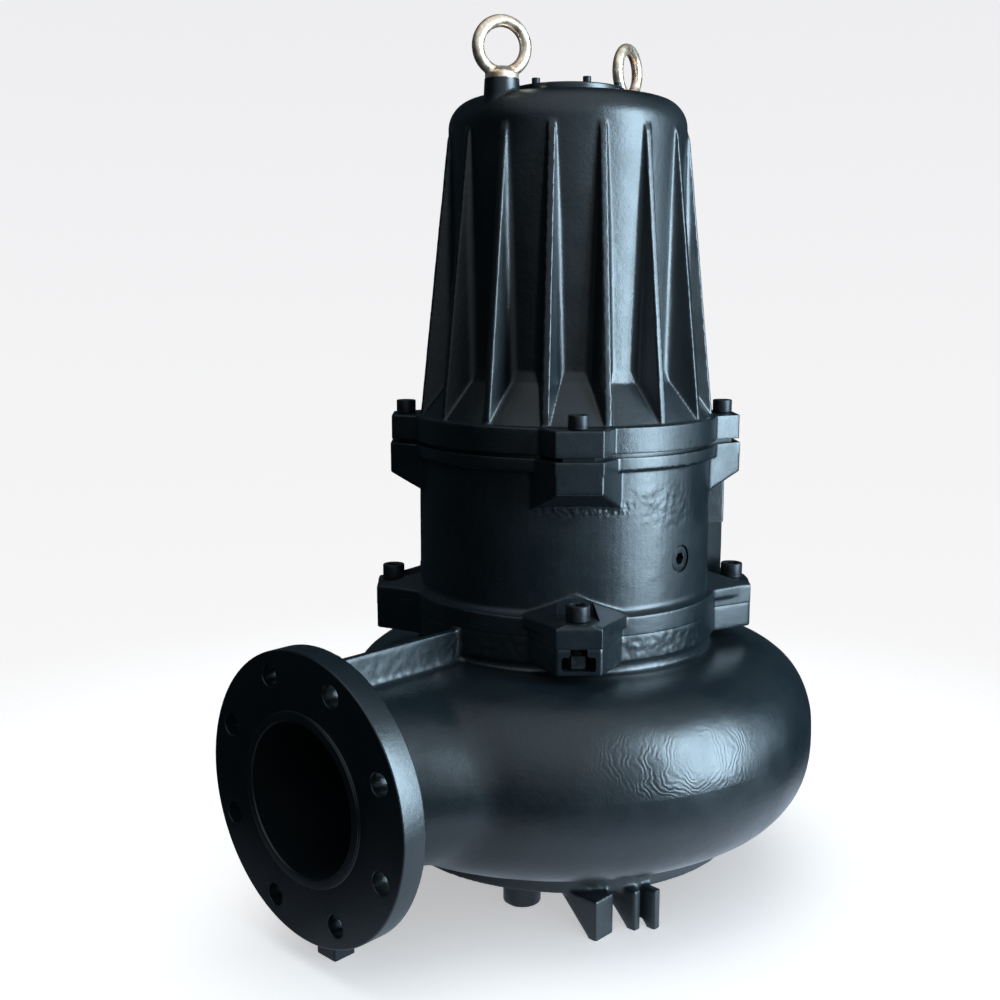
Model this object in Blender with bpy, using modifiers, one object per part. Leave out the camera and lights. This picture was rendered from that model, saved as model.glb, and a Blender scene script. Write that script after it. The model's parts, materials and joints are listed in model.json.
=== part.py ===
# Submersible sewage lift pump with a DN150 side discharge, standing on its own feet.
# The shaft is vertical, the discharge faces -Y, and the floor under the feet is z = 0.
# Dimensions are in millimetres about the shaft, and mm() turns them to metres.
# Directions around the shaft are azimuths in degrees, counted from +X towards +Y.
import bmesh
import bpy
from math import cos, pi, radians, sin, tan
from mathutils import Matrix, Vector

GAP = 0.3                  # space left between neighbouring pieces
SIDES = 64                 # sides of the large turned bodies

# discharge flange, DN150 PN10/16
FL_OD = 285.0
FL_BORE = 150.0
FL_PCD = 240.0
FL_HOLES = 8
FL_HOLE = 22.0
FL_THICK = 28.0
FL_LIP_OD = 169.0
FL_LIP = 3.0
FL_REACH = 373.0           # shaft to flange face
PIPE_H = 169.0             # floor to centre of the discharge
NECK_R = 90.0
NECK_FILLET = 50.0
WEB_T = 10.0
WEB_TOP = PIPE_H + 125.0
FOOT_HW = 14.5             # small foot under the flange
FOOT_Y0 = -349.0
FOOT_Y1 = -323.0

# spiral casing: the section grows clockwise, seen from above, from the tongue
V_TONGUE = -120.0          # azimuth where the spiral starts
V_FALL = 325.0             # degrees of turn after which it falls back inside the neck
V_RI = 95.0                # inner radius of the section
V_A = 75.0                 # half width of the section at the tongue
V_B = 84.0                 # half height of the section at the tongue
V_GROW_A = 0.39            # growth of the half width over one turn
V_GROW_B = 0.20            # growth of the half height over one turn
V_ZC = 162.0               # height of the middle of the section
V_POWER = 2.4              # roundness of the section, 2 is an ellipse
V_WALL = 14.0
V_BOT = 57.0               # flat underside, where the base ring is bolted
V_BOT_R = 190.0
V_TOP = 296.5              # joint between casing and seal housing
V_FLANGE = 27.5            # thickness of the casing's top flange
V_NECK_R = 165.0
MOUTH_R = 134.0            # opening in the top for the seal housing's spigot
EYE_CUT_R = 88.0           # opening in the bottom for the wear ring
INLET_R = 75.0

# shaft position, so that the origin is the middle of the whole outline
REACH_RIGHT = 284.0        # shaft to the spiral's outermost point towards +X
REACH_LEFT = 254.7
REACH_BACK = 269.4
AX = (REACH_LEFT - REACH_RIGHT) / 2.0
AY = (FL_REACH + FL_LIP - REACH_BACK) / 2.0

# base: a ring with three pairs of legs
ST_R = 199.0
ST_RI = 118.0
ST_TOP = V_BOT - GAP
ST_BOT = 38.0
ST_TURNS = (0.0, 120.0, 240.0)
ST_FOOT = 11.0             # flat length of a leg on the floor
ST_BOSS_R = 20.0
ST_BOSS_BOT = 8.0
ST_SCREW_R = 158.0
ST_SCREW_AZ = -64.0
ST_SEAT = 26.0             # seat of the screw head inside the boss

# seal housing
SH_R = 160.5
SH_TOP = 481.0
SH_RING = 17.0             # height of the upper flange
SH_GROOVE = 3.0            # groove under the motor housing
LO_R = 169.5
LO_EAR = 209.0
LO_EAR_HW = 23.0
LO_ROOT_HW = 48.0
LO_PCR = 191.0
LO_SEAT = 321.0            # seat of the lower screws
LO_RIM = 316.5             # top of the lower flange at its rim
LO_HIP = 27.0              # slope of the cheeks beside the screws
UP_R = 166.5
UP_EAR = 190.0
UP_EAR_HW = 24.0
UP_ROOT_HW = 38.0
UP_PCR = 175.0
UP_EAR_LOW = 444.0         # lowest point of the hanging ears, at their outer face
EAR_AZ = (-135.0, -45.0, 45.0, 135.0)
BAR_AZ = 52.0
BAR_R = 184.0
PLUG_Z = 366.0
PLUG_R = 13.0

# motor housing
MH_BOT = SH_TOP + GAP
MH_FL = 507.5
MH_R = 127.0
MH_FLARE_Z = 560.0
MH_FLARE_R = 158.0
MH_TOP = 838.0
MH_SHOULDER = 30.0
RIBS = 16
RIB_LOW_R = 161.0          # crest radius at the flange
RIB_HIGH_R = 130.0         # crest radius at the shoulder
RIB_HIGH_Z = 796.0
RIB_CREST_HW = 3.6
RIB_DRAFT = 0.28           # how much a flank spreads for each millimetre inwards
EYE_R = 102.0              # shaft to lifting eye
EYE_BOSS_R = 17.5
EYE_BOSS_TOP = 849.0
GLAND_Z = 640.0
GLAND_SEAT = 158.0
GLAND_R = 18.0

# top cover
TC_R = 60.4
TC_TOP = 850.0
TC_PCR = 53.0
TC_AZ = -88.0

# screws, socket heads as high as the thread is wide and one and a half times as wide
M_UPPER = 14.0
M_LOWER = 16.0
M_STAND = 12.0
M_COVER = 5.7

# lifting eye M16
EYE_RING_R = 24.5
EYE_ROD_R = 6.6
EYE_CENTRE = 31.0          # seat to centre of the ring
EYE_COLLAR_R = 17.0

# bodies whose surfaces meet in slivers that the exact solver leaves open
SLIVER_BODIES = ("volute_casing", "seal_housing", "impeller")

IDENTITY = Matrix.Identity(4)
UPRIGHT_X = Matrix.Rotation(radians(90.0), 4, "X")      # outline (x, y) stands up as (x, z)


def mm(value):
    return value / 1000.0


def clear():
    for ob in list(bpy.data.objects):
        bpy.data.objects.remove(ob, do_unlink=True)


def collection(name):
    col = bpy.data.collections.new(name)
    bpy.context.scene.collection.children.link(col)
    return col


def material(name, colour, rough, metal):
    mat = bpy.data.materials.new(name)
    mat.use_nodes = True
    bsdf = mat.node_tree.nodes["Principled BSDF"]
    bsdf.inputs["Base Color"].default_value = (*colour, 1.0)
    bsdf.inputs["Roughness"].default_value = rough
    bsdf.inputs["Metallic"].default_value = metal
    mat.diffuse_color = (*colour, 1.0)
    return mat


def enamel(name):
    return material(name, (0.010, 0.013, 0.016), 0.35, 0.0)


clear()
PUMP = collection("sewage_lift_pump")
CUTTERS = collection("cutters")
SHAFT = bpy.data.objects.new("shaft_axis", None)
SHAFT.location = (mm(AX), mm(AY), 0.0)
PUMP.objects.link(SHAFT)
STEEL = material("black_oxide_steel", (0.02, 0.02, 0.022), 0.45, 0.8)
ZINC = material("zinc_plated_steel", (0.62, 0.60, 0.57), 0.28, 1.0)


def add(name, data, matrix=IDENTITY, mat=None, cutter=False):
    """Object in the shaft's frame. A cutter is hidden and drawn as wire."""
    ob = bpy.data.objects.new(name, data)
    ob.parent = SHAFT
    ob.matrix_basis = matrix
    if cutter:
        CUTTERS.objects.link(ob)
        ob.hide_render = True
        ob.display_type = "WIRE"
    else:
        PUMP.objects.link(ob)
    if mat is not None:
        data.materials.append(mat)
    return ob


def shade(mesh):
    mesh.shade_smooth()
    mesh.set_sharp_from_angle(angle=radians(35.0))


def flat_faces(mesh):
    """Splits the faces of a bent body into triangles, which are flat."""
    bm = bmesh.new()
    bm.from_mesh(mesh)
    bmesh.ops.triangulate(bm, faces=bm.faces)
    bmesh.ops.recalc_face_normals(bm, faces=bm.faces)
    bm.to_mesh(mesh)
    bm.free()
    shade(mesh)


def evaluated_mesh(ob):
    """The object's shape with its modifiers applied, its loose seams welded."""
    graph = bpy.context.evaluated_depsgraph_get()
    mesh = bpy.data.meshes.new_from_object(ob.evaluated_get(graph))
    bm = bmesh.new()
    bm.from_mesh(mesh)
    bmesh.ops.remove_doubles(bm, verts=bm.verts, dist=mm(0.01))
    bm.to_mesh(mesh)
    bm.free()
    return mesh


def shift(x, y, z):
    return Matrix.Translation((mm(x), mm(y), mm(z)))


def spin_z(az):
    return Matrix.Rotation(radians(az), 4, "Z")


def turned(name, profile, sides=SIDES, matrix=IDENTITY, **kw):
    """Body of revolution. The profile holds (radius, height), outer side from top to bottom."""
    edges = [(i, i + 1) for i in range(len(profile) - 1)]
    if profile[0][0] > 0.0:
        edges.append((len(profile) - 1, 0))
    line = bpy.data.meshes.new(name)
    line.from_pydata([(mm(r), 0.0, mm(z)) for r, z in profile], edges, [])
    ob = add(name, line, matrix, **kw)
    screw = ob.modifiers.new("turn", "SCREW")
    screw.steps = sides
    screw.render_steps = sides
    screw.use_merge_vertices = True
    screw.merge_threshold = mm(0.01)
    mesh = evaluated_mesh(ob)
    ob.modifiers.clear()
    ob.data = mesh
    shade(mesh)
    return ob


def slab(name, outline, low, high, matrix=IDENTITY, **kw):
    """Flat outline of (x, y) points, extruded from height low to height high."""
    curve = bpy.data.curves.new(name, "CURVE")
    curve.dimensions = "2D"
    curve.fill_mode = "BOTH"
    curve.extrude = mm(high - low) / 2.0
    spline = curve.splines.new("POLY")
    spline.points.add(len(outline) - 1)
    for point, (x, y) in zip(spline.points, outline):
        point.co = (mm(x), mm(y), 0.0, 1.0)
    spline.use_cyclic_u = True
    guide = add(name + "_outline", curve)
    mesh = evaluated_mesh(guide)
    bpy.data.objects.remove(guide, do_unlink=True)
    return add(name, mesh, matrix @ shift(0.0, 0.0, (low + high) / 2.0), **kw)


def rods(name, radius, low, high, places, sides=16, matrix=IDENTITY, **kw):
    """Round bars along Z from height low to height high, one at each (x, y) place."""
    bm = bmesh.new()
    for x, y in places:
        bar = bmesh.ops.create_cone(
            bm, cap_ends=True, segments=sides, radius1=mm(radius), radius2=mm(radius),
            depth=mm(high - low))
        bmesh.ops.translate(bm, verts=bar["verts"], vec=(mm(x), mm(y), mm((low + high) / 2.0)))
    mesh = bpy.data.meshes.new(name)
    bm.to_mesh(mesh)
    bm.free()
    if sides > 6:
        shade(mesh)
    return add(name, mesh, matrix, **kw)


def trim(ob, point, normal):
    """Takes away what lies beyond a plane in the object's own frame and closes the cut."""
    bm = bmesh.new()
    bm.from_mesh(ob.data)
    geom = bm.verts[:] + bm.edges[:] + bm.faces[:]
    bmesh.ops.bisect_plane(
        bm, geom=geom, plane_co=Vector(point) / 1000.0, plane_no=normal, clear_outer=True)
    rim = [edge for edge in bm.edges if edge.is_boundary]
    bmesh.ops.contextual_create(bm, geom=rim)
    bmesh.ops.recalc_face_normals(bm, faces=bm.faces)
    bm.to_mesh(ob.data)
    bm.free()


def boolean(body, others, operation):
    for other in others:
        mod = body.modifiers.new(other.name, "BOOLEAN")
        mod.operation = operation
        mod.solver = "MANIFOLD" if body.name in SLIVER_BODIES else "EXACT"
        mod.object = other


def join(body, others):
    boolean(body, others, "UNION")


def cut(body, others):
    boolean(body, others, "DIFFERENCE")


def polar(r, az):
    return r * cos(radians(az)), r * sin(radians(az))


def arc(cr, cz, a, b, start, end, steps, power=2.0):
    """Points (radius, height) on a rounded section from one angle to another, in degrees."""
    points = []
    for i in range(steps + 1):
        t = radians(start + (end - start) * i / steps)
        c = abs(cos(t)) ** (2.0 / power) * (1.0 if cos(t) > 0.0 else -1.0)
        s = abs(sin(t)) ** (2.0 / power) * (1.0 if sin(t) > 0.0 else -1.0)
        points.append((cr + a * c, cz + b * s))
    return points


def eared_outline(r, tip, tip_hw, root_hw, inset=0.0, steps=9):
    """Round flange with four ears, anticlockwise. An inset draws the same outline smaller."""
    root = root_hw / r * 180.0 / pi
    points = []
    for az in EAR_AZ:
        out = Vector(polar(1.0, az))
        side = Vector((-out.y, out.x))
        points.append(polar(r - inset, az - root))
        points.append(tuple(out * (tip - inset) - side * (tip_hw - inset)))
        points.append(tuple(out * (tip - inset) + side * (tip_hw - inset)))
        points.append(polar(r - inset, az + root))
        span = 90.0 - 2.0 * root
        for i in range(1, steps):
            points.append(polar(r - inset, az + root + span * i / steps))
    return points


def tapered(r0, hw0, r1, hw1):
    """Four sided outline along +X, hw0 wide each way at r0 and hw1 at r1."""
    return [(r0, -hw0), (r1, -hw1), (r1, hw1), (r0, hw0)]


def ear_half_width(tip, tip_hw, root, root_hw, r):
    return tip_hw + (root_hw - tip_hw) * (tip - r) / (tip - root)


def growth(az):
    """How far the spiral has grown at an azimuth: 0 at the tongue, 1 after a full turn."""
    turn = (V_TONGUE - az) % 360.0
    if turn <= V_FALL:
        return turn / 360.0
    return V_FALL / 360.0 * (360.0 - turn) / (360.0 - V_FALL)


def spiral(name, profile, **kw):
    """Turned body whose section grows around the shaft like the water way of the casing."""
    ob = turned(name, profile, **kw)
    for vert in ob.data.vertices:
        r = vert.co.xy.length * 1000.0
        if r > 0.1:
            grown = growth(Vector((1.0, 0.0)).angle_signed(vert.co.xy) * -180.0 / pi)
            new_r = max(r, V_RI + (r - V_RI) * (1.0 + V_GROW_A * grown))
            taller = 1.0 + V_GROW_B * grown * min(1.0, r / V_RI)
            vert.co.xy *= new_r / r
            vert.co.z = mm(V_ZC + (vert.co.z * 1000.0 - V_ZC) * taller)
    flat_faces(ob.data)
    return ob


def discharge_neck():
    """Pipe from the flange into the casing, its sides spreading in a fillet."""
    stations = [(NECK_R, FL_REACH - 4.0)]
    for angle in (0.0, 15.0, 30.0, 45.0, 60.0, 68.0):
        t = radians(angle)
        stations.append((NECK_R + NECK_FILLET * (1.0 - cos(t)), 313.0 - NECK_FILLET * sin(t)))
    stations.append((stations[-1][0], 190.0))
    bm = bmesh.new()
    rings = []
    for half_width, out in stations:
        ring = bmesh.ops.create_circle(bm, cap_ends=False, segments=48, radius=mm(NECK_R))["verts"]
        bmesh.ops.scale(bm, verts=ring, vec=(half_width / NECK_R, 1.0, 1.0))
        bmesh.ops.transform(
            bm, verts=ring, matrix=shift(0.0, -out, PIPE_H) @ Matrix.Rotation(radians(90.0), 4, "X"))
        rings.append(ring)
    for ring in rings:
        edges = {edge for vert in ring for edge in vert.link_edges}
        if ring is rings[0] or ring is rings[-1]:
            bmesh.ops.contextual_create(bm, geom=list(edges))
    for near, far in zip(rings, rings[1:]):
        pair = set(near) | set(far)
        loops = {e for v in pair for e in v.link_edges if (e.verts[0] in near) == (e.verts[1] in near)}
        loops = [e for e in loops if e.verts[0] in pair and e.verts[1] in pair]
        bmesh.ops.bridge_loops(bm, edges=loops)
    mesh = bpy.data.meshes.new("neck")
    bm.to_mesh(mesh)
    bm.free()
    flat_faces(mesh)
    return add("cut_neck", mesh, cutter=True)


def volute_casing():
    """Casing with its discharge flange and top flange, hollow for the water."""
    centre = V_RI + V_A
    outer = [(0.0, V_ZC + V_B - 4.0), (V_RI, V_ZC + V_B - 2.0)]
    outer += arc(centre, V_ZC, V_A, V_B, 100.0, -100.0, 16, V_POWER)
    outer += [(V_RI, V_ZC - V_B + 2.0), (0.0, V_ZC - V_B + 4.0)]
    body = spiral("volute_casing", outer, mat=enamel("casing_enamel"))

    top = slab("cut_top_flange", eared_outline(LO_R, LO_EAR, LO_EAR_HW, LO_ROOT_HW),
               V_TOP - V_FLANGE, V_TOP, cutter=True)
    top_neck = rods("cut_top_neck", V_NECK_R, V_ZC + 60.0, V_TOP - 4.0, [(0.0, 0.0)], 60, cutter=True)
    seat = rods("cut_base_seat", V_BOT_R, V_BOT, V_ZC - 50.0, [(0.0, 0.0)], 60, cutter=True)

    lie = shift(0.0, 0.0, PIPE_H) @ Matrix.Rotation(radians(90.0), 4, "X")
    rim = FL_OD / 2.0
    disc = [(0.0, FL_REACH + FL_LIP), (FL_LIP_OD / 2.0, FL_REACH + FL_LIP), (FL_LIP_OD / 2.0, FL_REACH),
            (rim - 1.0, FL_REACH), (rim, FL_REACH - 1.0), (rim, FL_REACH - FL_THICK),
            (0.0, FL_REACH - FL_THICK)]
    flange = turned("cut_discharge_flange", disc, matrix=lie, cutter=True)

    back = -FL_REACH + FL_THICK - 2.0
    web = slab("cut_neck_web", [(back, PIPE_H + 60.0), (-V_NECK_R + 5.0, PIPE_H + 60.0),
                                (-V_NECK_R + 5.0, WEB_TOP), (back, WEB_TOP)],
               -WEB_T / 2.0, WEB_T / 2.0, spin_z(90.0) @ UPRIGHT_X, cutter=True)
    foot = slab("cut_flange_foot", [(-FOOT_HW, FOOT_Y0), (FOOT_HW, FOOT_Y0), (FOOT_HW, FOOT_Y1),
                                    (-FOOT_HW, FOOT_Y1)], 0.0, 40.0, cutter=True)
    join(body, [top_neck, top, seat, discharge_neck(), flange, web, foot])

    inner = [(0.0, V_ZC + 62.0), (centre - 45.0, V_ZC + 64.0)]
    inner += arc(centre, V_ZC, V_A - V_WALL, V_B - V_WALL, 75.0, -75.0, 8, V_POWER)
    inner += [(centre - 55.0, V_ZC - 64.0), (0.0, V_ZC - 64.0)]
    chamber = spiral("cut_chamber", inner, sides=40, cutter=True)
    mouth = rods("cut_top_opening", MOUTH_R, V_ZC + 40.0, V_TOP + 10.0, [(0.0, 0.0)], 48, cutter=True)
    eye = rods("cut_suction_opening", EYE_CUT_R, V_BOT - 10.0, V_ZC - 40.0, [(0.0, 0.0)], 48, cutter=True)
    bore = rods("cut_discharge_bore", FL_BORE / 2.0, 150.0, FL_REACH + 20.0, [(0.0, 0.0)], 48, lie,
                cutter=True)
    cut(body, [chamber, mouth, eye, bore])

    ring = [polar(FL_PCD / 2.0, 360.0 * (i + 0.5) / FL_HOLES) for i in range(FL_HOLES)]
    holes = rods("cut_flange_holes", FL_HOLE / 2.0, FL_REACH - FL_THICK - 8.0, FL_REACH + 8.0, ring,
                 matrix=lie, cutter=True)
    cut(body, [holes])
    hw = M_LOWER / 2.0 + GAP
    for i, az in enumerate(EAR_AZ):
        slot = slab("cut_bolt_slot_%d" % i, tapered(LO_PCR - hw, hw, LO_EAR + 8.0, hw),
                    V_TOP - 10.0, V_TOP + 5.0, spin_z(az), cutter=True)
        pocket = slab("cut_nut_pocket_%d" % i, tapered(LO_PCR - 16.0, 16.8, LO_EAR + 8.0, 16.8),
                      V_TOP - V_FLANGE + 5.0, V_TOP - 8.0, spin_z(az), cutter=True)
        cut(body, [slot, pocket])
    threads = rods("cut_stand_threads", M_STAND / 2.0 + GAP, V_BOT - 5.0, V_BOT + 16.0, stand_screws(),
                   cutter=True)
    cut(body, [threads])
    return body


def stand_screws():
    return [polar(ST_SCREW_R, ST_SCREW_AZ + turn) for turn in ST_TURNS]


def leg(name, end, y0, y1, turn):
    """Upright plate that rises at 45 degrees from its foot to the ring."""
    rise = ST_BOT + 4.0
    outline = [(end - ST_FOOT - rise, rise), (end - ST_FOOT, 0.0), (end, 0.0), (end, rise)]
    stand_up = shift(0.0, (y0 + y1) / 2.0, 0.0) @ UPRIGHT_X
    half = (y1 - y0) / 2.0
    return slab(name, outline, -half, half, spin_z(turn) @ stand_up, cutter=True)


def base_stand():
    """Ring under the casing with three pairs of legs and three bosses for its screws."""
    profile = [(ST_RI, ST_TOP), (ST_R, ST_TOP), (ST_R, ST_BOT + 3.0), (ST_R - 3.0, ST_BOT), (ST_RI, ST_BOT)]
    body = turned("base_stand", profile, mat=enamel("stand_enamel"))
    join(body, [rods("cut_stand_bosses", ST_BOSS_R, ST_BOSS_BOT, ST_TOP - 5.0, stand_screws(), 24,
                     cutter=True)])
    for i, turn in enumerate(ST_TURNS):
        wide = leg("cut_wide_leg_%d" % i, 172.0, -145.0, -117.0, turn)
        near = leg("cut_near_rib_%d" % i, 187.0, -101.5, -91.5, turn)
        link = leg("cut_rib_link_%d" % i, 179.0, -92.5, -84.5, turn)
        far = leg("cut_far_rib_%d" % i, 200.0, -86.0, -76.0, turn)
        join(body, [wide, near, link, far])
    holes = rods("cut_stand_holes", M_STAND / 2.0 + GAP, ST_SEAT - 5.0, ST_TOP + 5.0, stand_screws(),
                 cutter=True)
    sinks = rods("cut_stand_counterbores", M_STAND * 0.75 + 1.0, ST_BOSS_BOT - 5.0, ST_SEAT,
                 stand_screws(), 20, cutter=True)
    cut(body, [holes, sinks])
    return body


def wear_ring():
    """Ring pressed into the suction opening, close around the impeller's eye."""
    low, high = V_BOT, V_BOT + 45.0
    profile = [(INLET_R, high), (EYE_CUT_R - GAP, high), (EYE_CUT_R - GAP, low), (INLET_R, low)]
    iron = material("wear_ring_iron", (0.18, 0.17, 0.16), 0.45, 0.9)
    return turned("suction_wear_ring", profile, 48, mat=iron)


def impeller():
    """Back plate, hub and two swept blades, seen through the suction and the discharge."""
    top = 224.0
    hub_low = 150.0
    profile = [(0.0, top), (112.0, top), (112.0, top - 10.0), (40.0, top - 18.0), (28.0, hub_low),
               (0.0, hub_low)]
    body = turned("impeller", profile, 40, mat=material("impeller_iron", (0.09, 0.09, 0.095), 0.5, 0.8))
    sweep, steps = 110.0, 8
    for k in range(2):
        front = [polar(22.0 + 87.0 * i / steps, sweep * i / steps) for i in range(steps + 1)]
        rear = [polar(32.0 + 79.0 * i / steps, sweep * i / steps + 16.0 - i) for i in range(steps + 1)]
        blade = slab("cut_blade_%d" % k, front + rear[::-1], 120.0, top - 5.0, spin_z(180.0 * k), cutter=True)
        join(body, [blade])
    cut(body, [rods("cut_impeller_hole", M_STAND / 2.0 + GAP, hub_low - 5.0, top + 5.0, [(0.0, 0.0)],
                    cutter=True)])
    return body


def seal_housing():
    """Round housing between casing and motor, with an eared flange at each end."""
    low = V_TOP + GAP
    spigot = MOUTH_R - GAP
    profile = [(0.0, SH_TOP - 4.0), (SH_R, SH_TOP - 4.0), (SH_R, LO_RIM + 6.0), (SH_R + 1.5, LO_RIM + 3.0),
               (LO_R - 2.0, LO_RIM - 0.5), (LO_R - 2.0, low + 3.0), (spigot, low + 3.0),
               (spigot, 240.0), (60.0, 224.0 + GAP), (0.0, 224.0 + GAP)]
    body = turned("seal_housing", profile, mat=enamel("seal_housing_enamel"))
    lower = slab("cut_lower_flange", eared_outline(LO_R, LO_EAR, LO_EAR_HW, LO_ROOT_HW), low, LO_RIM,
                 cutter=True)
    upper = slab("cut_upper_flange", eared_outline(UP_R, UP_EAR + 1.5, UP_EAR_HW, UP_ROOT_HW),
                 SH_TOP - SH_RING, SH_TOP - SH_GROOVE, cutter=True)
    groove = slab("cut_upper_groove", eared_outline(UP_R, UP_EAR + 1.5, UP_EAR_HW, UP_ROOT_HW, 4.5),
                  SH_TOP - SH_RING + 2.0, SH_TOP, cutter=True)
    join(body, [groove, upper, lower])

    # cheeks beside each lower screw rise from the flange's rim to the round wall
    inner = 130.0
    hw = ear_half_width(LO_EAR, LO_EAR_HW, LO_R, LO_ROOT_HW, inner)
    for i, az in enumerate(EAR_AZ):
        cheeks = slab("cut_cheeks_%d" % i, tapered(inner, hw - 1.0, LO_EAR - 1.0, LO_EAR_HW - 1.0),
                      LO_RIM - 10.0, LO_RIM + 45.0, spin_z(az), cutter=True)
        for side in (-1.0, 1.0):
            along = Vector((LO_EAR - LO_R, side * (LO_EAR_HW - LO_ROOT_HW), 0.0))
            out = Vector((-along.y, along.x, 0.0)).normalized() * side
            rim = (LO_EAR, side * LO_EAR_HW, LO_RIM - (2.0 * LO_RIM + 35.0) / 2.0)
            trim(cheeks, rim, out * tan(radians(LO_HIP)) + Vector((0.0, 0.0, 1.0)))
        pocket = slab("cut_screw_pocket_%d" % i, tapered(SH_R + 0.5, 18.0, LO_EAR + 12.0, 24.8),
                      LO_SEAT, LO_SEAT + 60.0, spin_z(az), cutter=True)
        join(body, [cheeks])
        cut(body, [pocket])

    # ears of the upper flange hang down and lean back to the wall
    inner = 140.0
    hw = ear_half_width(UP_EAR, UP_EAR_HW, UP_R, UP_ROOT_HW, inner)
    ear_low, ear_high = UP_EAR_LOW - 50.0, SH_TOP - 4.0
    for i, az in enumerate(EAR_AZ):
        ear = slab("cut_hanging_ear_%d" % i, tapered(inner, hw - 0.5, UP_EAR + 1.0, UP_EAR_HW - 0.5),
                   ear_low, ear_high, spin_z(az), cutter=True)
        trim(ear, (UP_EAR, 0.0, UP_EAR_LOW - (ear_low + ear_high) / 2.0), Vector((0.5, 0.0, -1.0)))
        join(body, [ear])
    bar = slab("cut_cast_bar", tapered(140.0, 9.0, BAR_R, 8.0), LO_RIM - 6.0, SH_TOP - SH_RING + 4.0,
               spin_z(BAR_AZ), cutter=True)
    join(body, [bar])

    low_threads = rods("cut_casing_screw_holes", M_LOWER / 2.0 + GAP, low - 5.0, LO_SEAT + 5.0,
                       [polar(LO_PCR, az) for az in EAR_AZ], cutter=True)
    high_threads = rods("cut_motor_screw_threads", M_UPPER / 2.0 + GAP, SH_TOP - 30.0, SH_TOP + 5.0,
                        [polar(UP_PCR, az) for az in EAR_AZ], cutter=True)
    plug = rods("cut_plug_hole", PLUG_R + GAP, SH_R - 16.0, SH_R + 5.0, [(0.0, 0.0)], 24,
                plug_frame(), cutter=True)
    end = rods("cut_impeller_screw_end", M_STAND / 2.0 + GAP, 200.0, 250.0, [(0.0, 0.0)], cutter=True)
    cut(body, [low_threads, high_threads, plug, end])
    return body


def plug_frame():
    """Frame whose Z axis runs out through the oil plug, towards +X."""
    return shift(0.0, 0.0, PLUG_Z) @ Matrix.Rotation(radians(90.0), 4, "Y")


def rib(index):
    """Cooling rib whose crest runs in from the flange to the shoulder, with drafted flanks."""
    low, shoulder_z = MH_FL - 4.0, RIB_HIGH_Z + 18.0
    lean = (RIB_HIGH_R - RIB_LOW_R) / (RIB_HIGH_Z - MH_FL)
    outline = [(100.0, low), (RIB_LOW_R - lean * 4.0, low), (RIB_HIGH_R, RIB_HIGH_Z),
               (RIB_HIGH_R - 6.0, shoulder_z), (100.0, shoulder_z + 6.0)]
    fin = slab("cut_rib_%02d" % index, outline, -16.0, 16.0, cutter=True)
    for side in (-1.0, 1.0):
        crest = Vector((lean, 1.0, 0.0))
        flank = Vector((-1.0, 0.0, side * RIB_DRAFT))
        normal = crest.cross(flank)
        if normal.z * side < 0.0:
            normal.negate()
        trim(fin, (RIB_LOW_R, MH_FL, side * RIB_CREST_HW), normal)
    fin.matrix_basis = spin_z(360.0 * (index + 0.5) / RIBS) @ UPRIGHT_X
    return fin


def motor_housing():
    """Ribbed motor housing with its flange, lifting eye bosses and cable boss."""
    corner = MH_R - MH_SHOULDER
    profile = [(0.0, MH_TOP), (corner, MH_TOP)]
    profile += arc(corner, MH_TOP - MH_SHOULDER, MH_SHOULDER, MH_SHOULDER, 72.0, 0.0, 4)
    profile += [(MH_R, MH_FLARE_Z), (MH_R + 3.0, MH_FLARE_Z - 12.0), (MH_FLARE_R, MH_FL + 2.0),
                (MH_FLARE_R, MH_BOT + 5.0), (0.0, MH_BOT + 5.0)]
    body = turned("motor_housing", profile, mat=enamel("motor_enamel"))
    flange = slab("cut_motor_flange", eared_outline(UP_R, UP_EAR, UP_EAR_HW, UP_ROOT_HW), MH_BOT, MH_FL,
                  cutter=True)
    join(body, [flange] + [rib(i) for i in range(RIBS)])

    back = shift(0.0, 0.0, GLAND_Z) @ Matrix.Rotation(radians(-90.0), 4, "X")
    boss = [(0.0, EYE_BOSS_TOP), (EYE_BOSS_R - 1.0, EYE_BOSS_TOP), (EYE_BOSS_R, EYE_BOSS_TOP - 1.0),
            (EYE_BOSS_R + 1.0, 832.0), (EYE_BOSS_R + 5.5, 806.0), (EYE_BOSS_R + 5.5, 796.0), (0.0, 796.0)]
    bosses = [turned("cut_eye_boss_%d" % i, boss, 24, shift(0.0, y, 0.0), cutter=True)
              for i, y in enumerate((-EYE_R, EYE_R))]
    cable = rods("cut_cable_boss", 33.0, 100.0, GLAND_SEAT, [(0.0, 0.0)], 32, back, cutter=True)
    join(body, bosses + [cable])

    entry = rods("cut_cable_entry", GLAND_R + GAP, GLAND_SEAT - 16.0, GLAND_SEAT + 9.0, [(0.0, 0.0)], 24,
                 back, cutter=True)
    flange_holes = rods("cut_motor_screw_holes", M_UPPER / 2.0 + GAP, MH_BOT - 5.0, MH_FL + 5.0,
                        [polar(UP_PCR, az) for az in EAR_AZ], cutter=True)
    eye_threads = rods("cut_eye_threads", 8.0 + GAP, EYE_BOSS_TOP - 30.0, EYE_BOSS_TOP + 5.0,
                       [(0.0, -EYE_R), (0.0, EYE_R)], 20, cutter=True)
    cover_threads = rods("cut_cover_threads", M_COVER / 2.0 + GAP, MH_TOP - 12.0, MH_TOP + 5.0,
                         cover_screws(), 12, cutter=True)
    cut(body, [cover_threads, eye_threads, entry, flange_holes])
    return body


def cover_screws():
    return [polar(TC_PCR, TC_AZ + 60.0 * i) for i in range(6)]


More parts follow.
